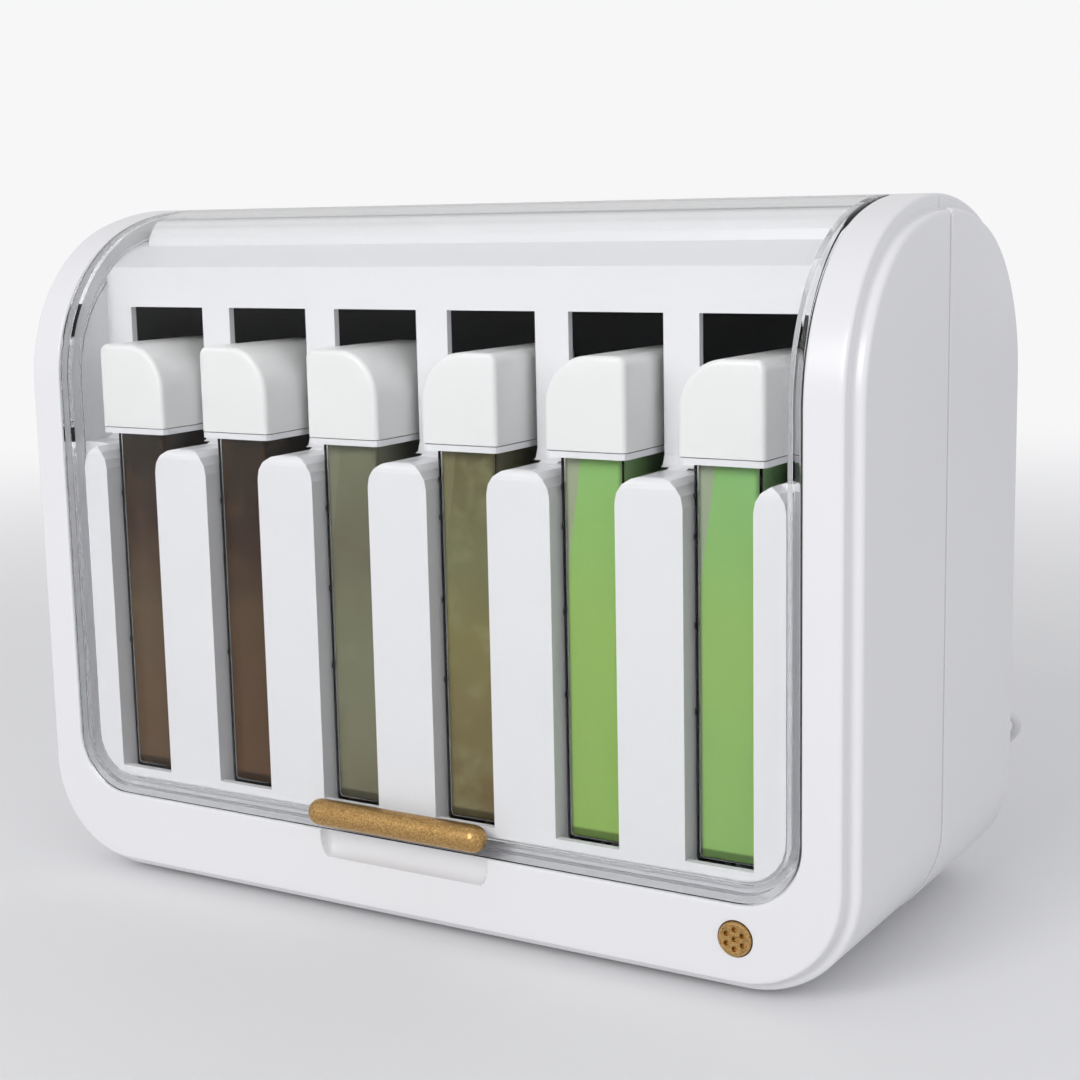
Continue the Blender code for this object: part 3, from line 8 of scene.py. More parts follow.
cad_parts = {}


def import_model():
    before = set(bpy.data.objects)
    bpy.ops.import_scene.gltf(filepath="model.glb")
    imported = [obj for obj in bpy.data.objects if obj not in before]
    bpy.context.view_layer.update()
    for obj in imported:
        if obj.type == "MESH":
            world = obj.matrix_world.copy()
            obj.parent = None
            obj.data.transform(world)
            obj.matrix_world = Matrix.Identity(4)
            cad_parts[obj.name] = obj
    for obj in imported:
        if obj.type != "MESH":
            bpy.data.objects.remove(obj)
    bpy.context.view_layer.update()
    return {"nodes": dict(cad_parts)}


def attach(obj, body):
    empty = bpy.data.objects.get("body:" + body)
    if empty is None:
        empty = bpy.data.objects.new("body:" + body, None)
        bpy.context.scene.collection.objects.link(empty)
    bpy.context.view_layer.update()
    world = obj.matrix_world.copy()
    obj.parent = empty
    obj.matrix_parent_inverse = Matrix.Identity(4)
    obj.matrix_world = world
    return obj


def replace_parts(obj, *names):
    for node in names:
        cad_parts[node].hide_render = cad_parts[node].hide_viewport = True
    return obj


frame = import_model()
nodes = frame["nodes"]


# The view: a camera to the right of the heater, a little above its top, turned
# slightly on its own axis, as the photograph was taken.
turn, tip, lean = math.radians(31.25), math.radians(9.72), math.radians(-1.19)
sight = Vector((-math.sin(turn) * math.cos(tip), math.cos(turn) * math.cos(tip), -math.sin(tip)))
level = Vector((math.cos(turn), math.sin(turn), 0.0))
over = level.cross(sight)
right = math.cos(lean) * level + math.sin(lean) * over
upward = math.cos(lean) * over - math.sin(lean) * level
stand = Matrix((right, upward, -sight)).transposed().to_4x4()
stand.translation = Vector((0.3529, -0.55975, 0.2324))
camera = bpy.data.objects.new("camera", bpy.data.cameras.new("camera"))
camera.data.lens = 64.35
camera.data.sensor_width = 36.0
camera.data.clip_start = 0.01
camera.matrix_world = stand
bpy.context.collection.objects.link(camera)
bpy.context.scene.camera = camera
bpy.context.scene.view_settings.view_transform = "Standard"


# The mains lead: a thin round flex in soft white vinyl that leaves the back through
# its bend relief, drops to the table and lies in a coil behind the heater.
def world(points):
    """Metres in the frame from millimetres as (x, depth behind the front panel, height)."""
    points = np.asarray(points, float)
    return (points - (0.0, 69.05, 0.0)) * 0.001


def even_route(corners, count):
    """Catmull-Rom curve through the corners, then count points an equal way apart on it."""
    p = np.asarray(corners, float)
    p = np.concatenate((2 * p[:1] - p[1:2], p, 2 * p[-1:] - p[-2:-1]))
    t = np.linspace(0, 1, 40, endpoint=False)[:, None, None]
    a, b, c, d = p[:-3], p[1:-2], p[2:-1], p[3:]
    fine = 0.5 * (2 * b + (c - a) * t + (2 * a - 5 * b + 4 * c - d) * t**2 + (3 * b - a - 3 * c + d) * t**3)
    fine = np.concatenate((fine.transpose(1, 0, 2).reshape(-1, 3), p[-2:-1]))
    way = np.concatenate(([0], np.cumsum(np.linalg.norm(np.diff(fine, axis=0), axis=1))))
    return np.stack([np.interp(np.linspace(0, way[-1], count), way, fine[:, k]) for k in range(3)], 1)


def wound(middle, depth, turns, per_turn):
    """Two flat layers of turns: the radius shrinks, then grows, by 3.9 mm a turn, and the height steps up one lead."""
    turn = np.arange(1, int(turns * per_turn) + 1) / per_turn
    radius = 12.1125 + 3.9 * np.abs(turn - turns / 2)
    lift = np.clip((turn - turns / 2) * 2 + 0.5, 0, 1)
    angle = -math.pi / 2 - 2 * math.pi * turn
    height = 1.7 + 3.9 * lift**2 * (3 - 2 * lift)
    return np.stack((middle + radius * np.cos(angle), depth + radius * np.sin(angle), height), 1)


lead_corners = [
    (128, 169.6, 48), (128.1, 176, 47.9), (129.3, 186, 47.2), (132, 196, 45.2), (135, 205, 41.6),
    (136.4, 213, 36.6), (134.4, 220.3, 30.6), (128.6, 225.6, 24.2), (120.2, 227.8, 18), (111, 227.2, 12.4),
    (101.5, 224.9, 7.8), (92, 222.3, 4.4), (82, 220.5, 2.4), (72, 219.7, 1.75), (60, 219.5, 1.7),
    (46, 219.5, 1.7), (30, 219.5, 1.7), (23.7, 219.5, 1.7),
]
coil_middle = (20.0, 219.5 + 28.6875)
lead_start = (coil_middle[0] + 3.4, coil_middle[1] - 28.6875, 1.7)
run_out = [(coil_middle[0] + 24 * share, coil_middle[1] + 28.6875, 5.6) for share in (0.15, 0.5, 1.0)]
lead_line = world(np.concatenate((
    even_route(lead_corners, 60)[:-1], [lead_start], wound(*coil_middle, 8.5, 48), run_out)))
lead_curve = bpy.data.curves.new("mains_lead", "CURVE")
lead_curve.dimensions = "3D"
lead_curve.bevel_depth = 1.0
lead_curve.bevel_resolution = 4
lead_curve.use_fill_caps = True
lead_spline = lead_curve.splines.new("POLY")
lead_spline.points.add(len(lead_line) - 1)
lead_spline.points.foreach_set("co", np.column_stack((lead_line, np.ones(len(lead_line)))).ravel())
lead_spline.points.foreach_set("radius", np.full(len(lead_line), 0.0017))
lead_spline.use_smooth = True
mains_lead = bpy.data.objects.new("mains_lead", lead_curve)
bpy.context.collection.objects.link(mains_lead)
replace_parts(mains_lead, "cord", "cord_coil")
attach(mains_lead, "housing")


def finish_look(name, colour, roughness, **values):
    """A material with one Principled shader, and its node tree to add to."""
    look = bpy.data.materials.new(name)
    look.use_nodes = True
    tree = look.node_tree
    shader = tree.nodes["Principled BSDF"]
    shader.inputs["Base Color"].default_value = (*colour, 1.0)
    shader.inputs["Roughness"].default_value = roughness
    for socket, value in values.items():
        shader.inputs[socket.replace("_", " ")].default_value = value
    look.diffuse_color = (*colour, 1.0)
    return look, tree, shader


def moulded_group():
    """Shader group for moulded plastic: a fine skin, faint clouding of tone and of gloss."""
    group = bpy.data.node_groups.new("moulded_skin", "ShaderNodeTree")
    face = group.interface
    for name, kind, value in (
            ("Tone", "NodeSocketColor", (0.8, 0.8, 0.8, 1)), ("Shade", "NodeSocketColor", (0.75, 0.75, 0.75, 1)),
            ("Cloud Scale", "NodeSocketFloat", 30.0), ("Skin Scale", "NodeSocketFloat", 900.0),
            ("Low Gloss", "NodeSocketFloat", 0.3), ("High Gloss", "NodeSocketFloat", 0.24)):
        face.new_socket(name, in_out="INPUT", socket_type=kind).default_value = value
    for name, kind in (("Colour", "NodeSocketColor"), ("Roughness", "NodeSocketFloat"), ("Height", "NodeSocketFloat")):
        face.new_socket(name, in_out="OUTPUT", socket_type=kind)
    make, join = group.nodes.new, group.links.new
    given, result = make("NodeGroupInput"), make("NodeGroupOutput")
    place = make("ShaderNodeTexCoord")
    cloud, skin = make("ShaderNodeTexNoise"), make("ShaderNodeTexNoise")
    cloud.inputs["Detail"].default_value = 3.0
    skin.inputs["Detail"].default_value = 2.0
    tone, gloss = make("ShaderNodeMix"), make("ShaderNodeMapRange")
    tone.data_type = "RGBA"
    join(place.outputs["Object"], cloud.inputs["Vector"])
    join(place.outputs["Object"], skin.inputs["Vector"])
    join(given.outputs["Cloud Scale"], cloud.inputs["Scale"])
    join(given.outputs["Skin Scale"], skin.inputs["Scale"])
    join(cloud.outputs["Fac"], tone.inputs["Factor"])
    join(given.outputs["Tone"], tone.inputs[6])
    join(given.outputs["Shade"], tone.inputs[7])
    join(cloud.outputs["Fac"], gloss.inputs["Value"])
    join(given.outputs["Low Gloss"], gloss.inputs["To Min"])
    join(given.outputs["High Gloss"], gloss.inputs["To Max"])
    join(tone.outputs[2], result.inputs["Colour"])
    join(gloss.outputs["Result"], result.inputs["Roughness"])
    join(skin.outputs["Fac"], result.inputs["Height"])
    return group


moulded_skin = moulded_group()


def moulded_look(name, tone, shade, cloud, skin, gloss, depth, **values):
    """Plastic with the moulded skin: two tones, the scale of its clouds and skin, gloss range, skin depth in mm."""
    look, tree, shader = finish_look(name, tone, gloss[0], **values)
    node = tree.nodes.new("ShaderNodeGroup")
    node.node_tree = moulded_skin
    node.inputs["Tone"].default_value = (*tone, 1)
    node.inputs["Shade"].default_value = (*shade, 1)
    node.inputs["Cloud Scale"].default_value = cloud
    node.inputs["Skin Scale"].default_value = skin
    node.inputs["Low Gloss"].default_value, node.inputs["High Gloss"].default_value = gloss
    bump = tree.nodes.new("ShaderNodeBump")
    bump.inputs["Strength"].default_value = 1.0
    bump.inputs["Distance"].default_value = depth * 0.001
    tree.links.new(node.outputs["Colour"], shader.inputs["Base Color"])
    tree.links.new(node.outputs["Roughness"], shader.inputs["Roughness"])
    tree.links.new(node.outputs["Height"], bump.inputs["Height"])
    tree.links.new(bump.outputs["Normal"], shader.inputs["Normal"])
    return look


lead_vinyl = moulded_look(
    "soft_white_vinyl", (0.80, 0.80, 0.81), (0.74, 0.74, 0.76), 60.0, 1500.0, (0.5, 0.42), 0.02)
lead_curve.materials.append(lead_vinyl)


# Bend relief and plug of the lead: soft moulded vinyl over the flex, with ribs that
# let it bend, and a flat-sided plug body with two nickel-plated blades.
def grid_faces(rows, columns, ring=False, first=0):
    """Quads between neighbours of a grid counted row by row, with its columns closed into a ring if asked."""
    r = np.arange(rows - 1)[:, None] * columns + first
    c = np.arange(columns if ring else columns - 1)[None, :]
    d = (c + 1) % columns
    return [tuple(q) for q in np.stack((r + c, r + d, r + columns + d, r + columns + c), -1).reshape(-1, 4).tolist()]


def build(name, patches, look, body, crease=38.0):
    """Joins patches of (points in mm, faces) into one piece with its doubles merged and its faces outwards."""
    points, faces, count = [], [], 0
    for patch_points, patch_faces in patches:
        patch_points = np.asarray(patch_points, float).reshape(-1, 3)
        points.append(world(patch_points))
        faces += [tuple(i + count for i in face) for face in patch_faces]
        count += len(patch_points)
    mesh = bpy.data.meshes.new(name)
    mesh.from_pydata(np.concatenate(points).tolist(), [], faces)
    work = bmesh.new()
    work.from_mesh(mesh)
    bmesh.ops.remove_doubles(work, verts=work.verts, dist=2e-6)
    bmesh.ops.dissolve_degenerate(work, edges=work.edges, dist=1e-6)
    bmesh.ops.recalc_face_normals(work, faces=work.faces)
    work.to_mesh(mesh)
    work.free()
    mesh.shade_smooth()
    mesh.set_sharp_from_angle(angle=math.radians(crease))
    mesh.materials.append(look)
    piece = bpy.data.objects.new(name, mesh)
    bpy.context.collection.objects.link(piece)
    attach(piece, body)
    return piece


def turned(axis, centre, profile, sides):
    """Surface of revolution: each (way, radius) of the profile becomes a ring about the axis, ends closed."""
    angle = np.linspace(0, 2 * np.pi, sides, endpoint=False)
    way, radius = np.asarray(profile, float).T
    a = radius[:, None] * np.cos(angle) + centre[0]
    b = radius[:, None] * np.sin(angle) + centre[1]
    w = np.broadcast_to(way[:, None], a.shape)
    points = np.stack({"x": (w, a, b), "y": (a, w, b), "z": (a, b, w)}[axis], -1)
    faces = grid_faces(len(profile), sides, ring=True)
    last = (len(profile) - 1) * sides
    return points, faces + [tuple(range(sides)), tuple(range(last, last + sides))]


rib_way = np.linspace(0, 1, 97)
rib_shape = 1 - 0.16 * (np.sin(rib_way * 8 * 2 * np.pi - np.pi / 2) > 0.35) * (rib_way > 0.1) * (rib_way < 0.9)
grip_profile = [(142.2, 3.2), (142.4, 4.2), (145.5, 4.3), (145.6, 6.9), (146.6, 7.0), (147.1, 6.8), (147.3, 4.4)]
grip_profile += list(zip(147.4 + 21.4 * rib_way, (4.35 - 1.75 * rib_way) * rib_shape)) + [(169.2, 2.2), (169.3, 1.9)]
bend_relief = build(
    "bend_relief", [turned("y", (128.0, 48.0), grip_profile, 40)], lead_vinyl, "housing", 30.0)
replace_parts(bend_relief, "cord_grip")


def rounded_plan(low_x, high_x, low_y, high_y, radius, steps=6):
    """Outline of a rectangle with round corners: a quarter turn about each corner's own centre."""
    quarter = np.radians(np.linspace(0, 90, steps + 1))
    corners = (
        (high_x - radius, high_y - radius, 0), (low_x + radius, high_y - radius, 90),
        (low_x + radius, low_y + radius, 180), (high_x - radius, low_y + radius, 270))
    return np.concatenate([np.stack((
        x + radius * np.cos(quarter + math.radians(turn)), y + radius * np.sin(quarter + math.radians(turn))), 1)
        for x, y, turn in corners])


def lofted(outlines, heights, axis="z"):
    """Walls between outlines of equal point count, each at its own way along the axis, with both ends closed."""
    outlines = np.asarray(outlines, float)
    rows, columns = outlines.shape[:2]
    way = np.broadcast_to(np.asarray(heights, float)[:, None], (rows, columns))
    a, b = outlines[..., 0], outlines[..., 1]
    points = np.stack({"x": (way, a, b), "y": (a, way, b), "z": (a, b, way)}[axis], -1)
    last = (rows - 1) * columns
    return points, grid_faces(rows, columns, ring=True) + [
        tuple(range(columns)), tuple(range(last, last + columns))]


plug_depth, plug_height = coil_middle[1] + 28.6875, 5.6
plug_rows, plug_ways = [], []
for way, wide, thick, corner in (
        (43.0, 4.4, 4.4, 2.1), (43.2, 5.2, 5.2, 2.4), (49.0, 6.6, 6.2, 2.8), (55.4, 8.6, 7.4, 3.2),
        (56.0, 14.0, 8.6, 3.6), (56.8, 19.6, 10.2, 4.2), (58.2, 22.2, 11.0, 4.4), (60.0, 23.0, 11.2, 4.0),
        (66.0, 21.6, 10.6, 4.0), (74.0, 21.6, 10.6, 3.8), (79.0, 23.0, 11.2, 3.4),
        (80.4, 22.8, 11.1, 3.4), (81.0, 22.0, 10.4, 3.0)):
    plug_rows.append(rounded_plan(
        plug_depth - wide / 2, plug_depth + wide / 2, plug_height - thick / 2, plug_height + thick / 2,
        min(corner, thick / 2 - 0.05)))
    plug_ways.append(way)
plug_body = build("plug_body", [lofted(plug_rows, plug_ways, "x")], lead_vinyl, "housing", 30.0)
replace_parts(plug_body, "plug")


# Front half of the housing: one glossy white moulding. Its panel rises from a recessed
# step, runs up and over the arched top, and turns in round the opening for the lid.
half_depth, shoulder_radius, top_radius = 72.65, 57.0, 106.4
top_centre = 234.8 - top_radius
shoulder_rise = math.sqrt((top_radius - shoulder_radius)**2 - (half_depth - shoulder_radius)**2)
shoulder_height = top_centre + shoulder_rise
joint_angle = math.atan2(shoulder_rise, half_depth - shoulder_radius)
joint_way = shoulder_height + shoulder_radius * joint_angle
seam_way = joint_way + top_radius * (math.pi / 2 - joint_angle) - 0.15


def way_at(depth):
    """Way along the arch from the floor to a depth on its flatter top."""
    return joint_way + top_radius * (math.acos((half_depth - depth) / top_radius) - joint_angle)


def on_arch(line, inset):
    """Points of a flat line (x, way up) laid on the arch: straight up, round the 57 mm shoulder, then along
    the 106.4 mm top, and pushed in by inset along the arch's normal."""
    x, way = np.asarray(line, float).T
    top = way > joint_way
    angle = np.where(top, joint_angle + (way - joint_way) / top_radius,
                     np.maximum(way - shoulder_height, 0) / shoulder_radius)
    depth = np.where(top, half_depth - top_radius * np.cos(angle), shoulder_radius * (1 - np.cos(angle)))
    height = np.where(top, top_centre + top_radius * np.sin(angle),
                      np.minimum(way, shoulder_height) + shoulder_radius * np.sin(angle))
    return np.stack((x, depth + inset * np.cos(angle), height - inset * np.sin(angle)), 1)


flat_shares = np.unique(np.concatenate((
    np.linspace(-1, 1, 25), np.linspace(-0.29, -0.22, 21), np.linspace(0.22, 0.29, 21))))


def cradle(half, bottom, corner, top=seam_way):
    """U-shaped line (x, way up): down the left side from the top, round the corner, along the bottom and up."""
    side = np.concatenate((
        np.linspace(top, shoulder_height, 61), np.linspace(shoulder_height, bottom + corner, 9)[1:]))
    bend = np.radians(np.linspace(180, 270, 19))[1:]
    left = np.concatenate((
        np.stack((np.full(len(side), -half), side), 1),
        np.stack((corner - half + corner * np.cos(bend), bottom + corner + corner * np.sin(bend)), 1)))
    flat = np.stack((flat_shares[1:-1] * (half - corner), np.full(len(flat_shares) - 2, bottom)), 1)
    return np.concatenate((left, flat, left[::-1] * (-1, 1)))


def grown(outline, by, top=seam_way):
    """The U of an outline (half width, bottom, corner radius) moved outwards by a distance."""
    half, bottom, corner = outline
    return cradle(half + by, bottom - by, corner + by, top)


def quarter_turn(steps, radius):
    """Ways in and out (1 - cos, 1 - sin) of a rounded edge, times its radius."""
    t = np.radians(np.linspace(0, 90, steps + 1))
    return zip(radius * (1 - np.cos(t)), radius * (1 - np.sin(t)))


opening_line, panel_line, flange_line = (140.3, 29.8, 20.3), (152.9, 5.5, 33.0), (156.8, 2.0, 36.5)


def scoop(line):
    """Depth of the finger scoop in the bottom rail. It is 4.2 mm at the opening, and falls along a rounded curve to 0
    at its lower edge 9 mm below, and over the last 4 mm at both ends."""
    x, way = line.T
    drop = np.clip((29.8 - way) / 9.0, 0, 1)
    ends = np.clip((np.abs(x) - 29.0) / 4.0, 0, 1)
    return 4.2 * np.sqrt(np.clip(1 - drop**2.4 - ends**2.4, 0, 1))


def frame_rows(edge_line, with_scoop):
    """Rows from the wall that turns in, over its soft edge, the face, the panel's edge, the step and the flange."""
    rows = []
    for inset in (12.0, 7.5, 3.0):
        line = grown(edge_line, 0.0)
        rows.append(on_arch(line, inset + 0.4 * with_scoop * scoop(line)))
    for out, inset in quarter_turn(5, 0.9):
        line = grown(edge_line, out)
        rows.append(on_arch(line, inset + with_scoop * scoop(line)))
    inner, outer = grown(edge_line, 0.9), grown(panel_line, -1.1)
    for share in np.concatenate((np.linspace(0, 0.42, 25)[1:], np.linspace(0.42, 1, 6)[1:-1])):
        line = inner * (1 - share) + outer * share
        rows.append(on_arch(line, with_scoop * scoop(line)))
    for inset, back in quarter_turn(5, 1.1):
        rows.append(on_arch(grown(panel_line, -back), inset))
    for out, back in quarter_turn(4, 1.0):
        rows.append(on_arch(grown(panel_line, out), 4.9 - back))
    for inset, back in quarter_turn(6, 1.7):
        rows.append(on_arch(grown(flange_line, -back), 4.9 + inset))
    return rows


def to_seam(row, depth, by=0.0):
    """A row moved back to the seam's depth, keeping its height."""
    moved = row.copy()
    moved[:, 1] = np.maximum(moved[:, 1], depth) if by == 0 else depth
    return moved


shell_rows = frame_rows(opening_line, 1.0)
shell_rows.append(to_seam(shell_rows[-1], half_depth - 0.5))
shell_rows.append(to_seam(on_arch(grown(flange_line, -0.35), 6.95), half_depth - 0.15, 1))
shell_rows.append(to_seam(on_arch(grown(flange_line, -2.6), 9.2), half_depth - 0.15, 1))
shell_rows.append(on_arch(grown(flange_line, -2.6), 9.2))
shell_rows.append(on_arch(grown(panel_line, -2.6), 8.2))
shell_rows.append(on_arch(grown(panel_line, -2.6), 2.6))
inner_line = grown(opening_line, 2.0)
shell_rows.append(on_arch(inner_line, 2.6 + scoop(inner_line)))
shell_rows.append(on_arch(inner_line, 12.0))
shell_grid = np.stack(shell_rows)
rows_here, columns_here = shell_grid.shape[:2]
shell_faces = grid_faces(rows_here, columns_here)
last_row = (rows_here - 1) * columns_here
shell_faces += [(last_row + c, last_row + c + 1, c + 1, c) for c in range(columns_here - 1)]
shell_faces += [tuple(range(0, rows_here * columns_here, columns_here)),
                tuple(range(columns_here - 1, rows_here * columns_here, columns_here))]
bridge_profile = [(way, inset) for way, inset in zip(
    [way_at(69.0) + out for out, _ in quarter_turn(5, 0.9)], [inset for _, inset in quarter_turn(5, 0.9)])]
bridge_profile += [(seam_way, 0.0), (seam_way, 2.6), (way_at(69.0), 2.6)]
bridge_rows = [on_arch([(x, way) for way, _ in bridge_profile], np.array([n - 0.02 for _, n in bridge_profile]))
               for x in (-142.0, 0.0, 142.0)]
bridge_outline = [row[:, 1:] for row in bridge_rows]
white_gloss = moulded_look(
    "glossy_white_plastic", (0.82, 0.82, 0.835), (0.79, 0.79, 0.81), 14.0, 700.0, (0.27, 0.2), 0.012)
front_moulding = build(
    "front_moulding", [(shell_grid, shell_faces), lofted(bridge_outline, (-142.0, 0.0, 142.0), "x")],
    white_gloss, "housing", 30.0)


def bored(piece, cutters):
    """Cuts closed bodies, each given as (points in mm, faces), out of a finished piece."""
    for points, faces in cutters:
        mesh = bpy.data.meshes.new("cutter")
        mesh.from_pydata(world(np.asarray(points).reshape(-1, 3)).tolist(), [], faces)
        work = bmesh.new()
        work.from_mesh(mesh)
        bmesh.ops.recalc_face_normals(work, faces=work.faces)
        work.to_mesh(mesh)
        work.free()
        cutter = bpy.data.objects.new("cutter", mesh)
        bpy.context.collection.objects.link(cutter)
        cut = piece.modifiers.new("cut", "BOOLEAN")
        cut.operation, cut.solver, cut.object = "DIFFERENCE", "EXACT", cutter
        graph = bpy.context.evaluated_depsgraph_get()
        result = bpy.data.meshes.new_from_object(piece.evaluated_get(graph))
        piece.modifiers.remove(cut)
        piece.data = result
        bpy.data.objects.remove(cutter)
    return piece


bored(front_moulding, [turned("y", (119.5, 19.4), [(-2.0, 5.75), (6.0, 5.75)], 48)])
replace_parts(front_moulding, "front_shell")


# Back half of the housing: the same white moulding, half a millimetre wider at the
# seam, closed behind, with deep wells for the four screws and a hole for the lead.
def to_back(row):
    """A row of the front half turned to the back: depth counted from the back panel."""
    moved = row.copy()
    moved[:, 1] = 2 * half_depth - moved[:, 1]
    return moved


wider_line = (157.3, 1.5, 37.0)
back_rows = []
for inset, back in quarter_turn(5, 1.1):
    back_rows.append(on_arch(grown(panel_line, -back), inset))
for out, back in quarter_turn(4, 1.0):
    back_rows.append(on_arch(grown(panel_line, out), 4.9 - back))
for inset, back in quarter_turn(6, 1.7):
    back_rows.append(on_arch(grown(wider_line, -back), 4.4 + inset))
back_rows.append(to_seam(back_rows[-1], half_depth - 0.5))
back_rows.append(to_seam(on_arch(grown(wider_line, -0.35), 6.45), half_depth - 0.15, 1))
back_rows.append(to_seam(on_arch(grown(wider_line, -3.1), 9.2), half_depth - 0.15, 1))
back_rows.append(on_arch(grown(wider_line, -3.1), 9.2))
back_rows.append(on_arch(grown(panel_line, -2.6), 8.2))
back_rows.append(on_arch(grown(panel_line, -2.6), 2.6))
back_grid = np.stack([to_back(row) for row in back_rows])
rows_here = len(back_rows)
back_faces = grid_faces(rows_here, columns_here)


def sheet_faces(first, columns, side_count):
    """Faces across a U: a strip between each pair of facing side points, and one flat face in the rounded end."""
    strips = [(first + k, first + k + 1, first + columns - 2 - k, first + columns - 1 - k) for k in range(side_count)]
    return strips + [tuple(first + k for k in range(side_count, columns - side_count))]


side_points = 68
last_row = (rows_here - 1) * columns_here
back_faces += sheet_faces(0, columns_here, side_points) + sheet_faces(last_row, columns_here, side_points)
back_faces.append(tuple(list(range(0, rows_here * columns_here, columns_here))
                        + list(range(rows_here * columns_here - 1, 0, -columns_here))))
back_moulding = build(
    "back_moulding", [(back_grid, back_faces)], white_gloss, "housing", 30.0)
wells = [turned("y", (x, z), [(145.3 - 9.0, 3.1), (150.0, 3.1)], 40) for x in (-149.2, 149.2) for z in (45.0, 150.0)]
bored(back_moulding, wells + [turned("y", (128.0, 48.0), [(138.0, 4.7), (150.0, 4.7)], 40)])
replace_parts(back_moulding, "rear_shell")


# Lid: one clear acrylic moulding that follows the arch, with a thin rib round its rim
# and a hinge ear at each top corner; it swings on two steel pins.
lid_line, lid_top = (139.9, 30.1, 20.0), way_at(66.2)


def lid_row(by, inset, top=lid_top):
    """A row round the lid, moved in or out and pushed in."""
    return on_arch(grown(lid_line, by, top), inset)


lid_rows = [lid_row(-4.0, 0.0)]
lid_rows += [lid_row(-back, inset) for inset, back in quarter_turn(4, 0.4)]
lid_rows += [lid_row(-out, 2.5 - back) for out, back in quarter_turn(4, 0.4)]
lid_rows += [lid_row(-2.3, 2.5), lid_row(-2.3, 7.1), lid_row(-2.4, 7.2), lid_row(-4.4, 7.2), lid_row(-4.5, 7.1),
             lid_row(-4.5, 2.5), lid_row(-6.0, 2.5)]
lid_grid = np.stack(lid_rows)
rows_here, columns_here = lid_grid.shape[:2]
last_row = (rows_here - 1) * columns_here
lid_faces = grid_faces(rows_here, columns_here)
lid_faces += sheet_faces(0, columns_here, side_points) + sheet_faces(last_row, columns_here, side_points)
lid_faces += [
    (0, columns_here - 1, last_row + columns_here - 1, last_row),
    tuple(range(0, rows_here * columns_here, columns_here)),
    tuple(range(columns_here - 1, rows_here * columns_here, columns_here))]
clear_acrylic, _, _ = finish_look(
    "clear_acrylic", (0.93, 0.935, 0.938), 0.02, Transmission_Weight=1.0, IOR=1.49,
    Specular_Tint=(0.05, 0.05, 0.05, 1))


def lets_lamps_through(look, tint):
    """Mixes in a plain transparent shader for rays from lamps, so clear pieces cast only a faint shade."""
    tree = look.node_tree
    output = tree.nodes["Material Output"]
    paths, pass_on, mix = (
        tree.nodes.new("ShaderNode" + kind) for kind in ("LightPath", "BsdfTransparent", "MixShader"))
    pass_on.inputs["Color"].default_value = (*tint, 1.0)
    tree.links.new(paths.outputs["Is Shadow Ray"], mix.inputs[0])
    tree.links.new(tree.nodes["Principled BSDF"].outputs[0], mix.inputs[1])
    tree.links.new(pass_on.outputs[0], mix.inputs[2])
    tree.links.new(mix.outputs[0], output.inputs["Surface"])


lets_lamps_through(clear_acrylic, (0.92, 0.925, 0.93))
hinge_centre = (61.5, 229.814)


def washer(centre, inner, outer, low, high, sides):
    """Disc with a round hole about the x axis: its section's four corners go once round."""
    angle = np.linspace(0, 2 * np.pi, sides, endpoint=False)
    rows = []
    for x, radius in ((low, inner), (low, outer), (high, outer), (high, inner)):
        rows.append(np.stack((
            np.full(sides, x), centre[0] + radius * np.cos(angle), centre[1] + radius * np.sin(angle)), 1))
    return np.stack(rows + rows[:1]), grid_faces(5, sides, ring=True)


clear_lid = build("clear_lid", [
    (lid_grid, lid_faces), washer(hinge_centre, 1.8, 4.2, -139.5, -135.7, 40),
    washer(hinge_centre, 1.8, 4.2, 135.7, 139.5, 40)], clear_acrylic, "lid", 30.0)
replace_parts(clear_lid, "lid")


# Handle of the lid: a bar with round ends in gold-plated plastic with fine metal
# flakes, glued flat against the acrylic just above the finger scoop.
bar_way = np.sin(np.radians(np.linspace(-90, 90, 49)))
bar_around = np.linspace(0, 2 * np.pi, 40, endpoint=False)
bar_share = np.clip((np.abs(bar_way) * 34.4 - 29.9) / 4.5, 0, 1)
bar_size = np.sqrt(1 - np.minimum(bar_share, 0.9999)**2)[:, None]
bar_points = np.stack((
    np.broadcast_to(bar_way[:, None] * 34.4, (49, 40)),
    np.minimum(-2.88 + 4.32 * bar_size * np.cos(bar_around), -0.3),
    37.1 + 4.5 * bar_size * np.sin(bar_around)), -1)
gold_plate, tree, shader = finish_look("gold_plate", (0.46, 0.28, 0.11), 0.36, Metallic=1.0)
place = tree.nodes.new("ShaderNodeTexCoord")
flake, tone = tree.nodes.new("ShaderNodeTexVoronoi"), tree.nodes.new("ShaderNodeValToRGB")
flake.inputs["Scale"].default_value = 2600.0
tone.color_ramp.elements[0].color = (0.30, 0.16, 0.045, 1)
tone.color_ramp.elements[1].color = (0.66, 0.43, 0.18, 1)
tree.links.new(place.outputs["Object"], flake.inputs["Vector"])
tree.links.new(flake.outputs["Color"], tone.inputs["Fac"])
tree.links.new(tone.outputs["Color"], shader.inputs["Base Color"])
flake_bump = tree.nodes.new("ShaderNodeBump")
flake_bump.inputs["Distance"].default_value = 0.00006
tree.links.new(flake.outputs["Color"], flake_bump.inputs["Height"])
tree.links.new(flake_bump.outputs["Normal"], shader.inputs["Normal"])
gold_bar = build("gold_bar", [(
    bar_points, grid_faces(49, 40, ring=True) + [tuple(range(40)), tuple(range(48 * 40, 49 * 40))])],
    gold_plate, "lid", 60.0)
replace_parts(gold_bar, "lid_handle")


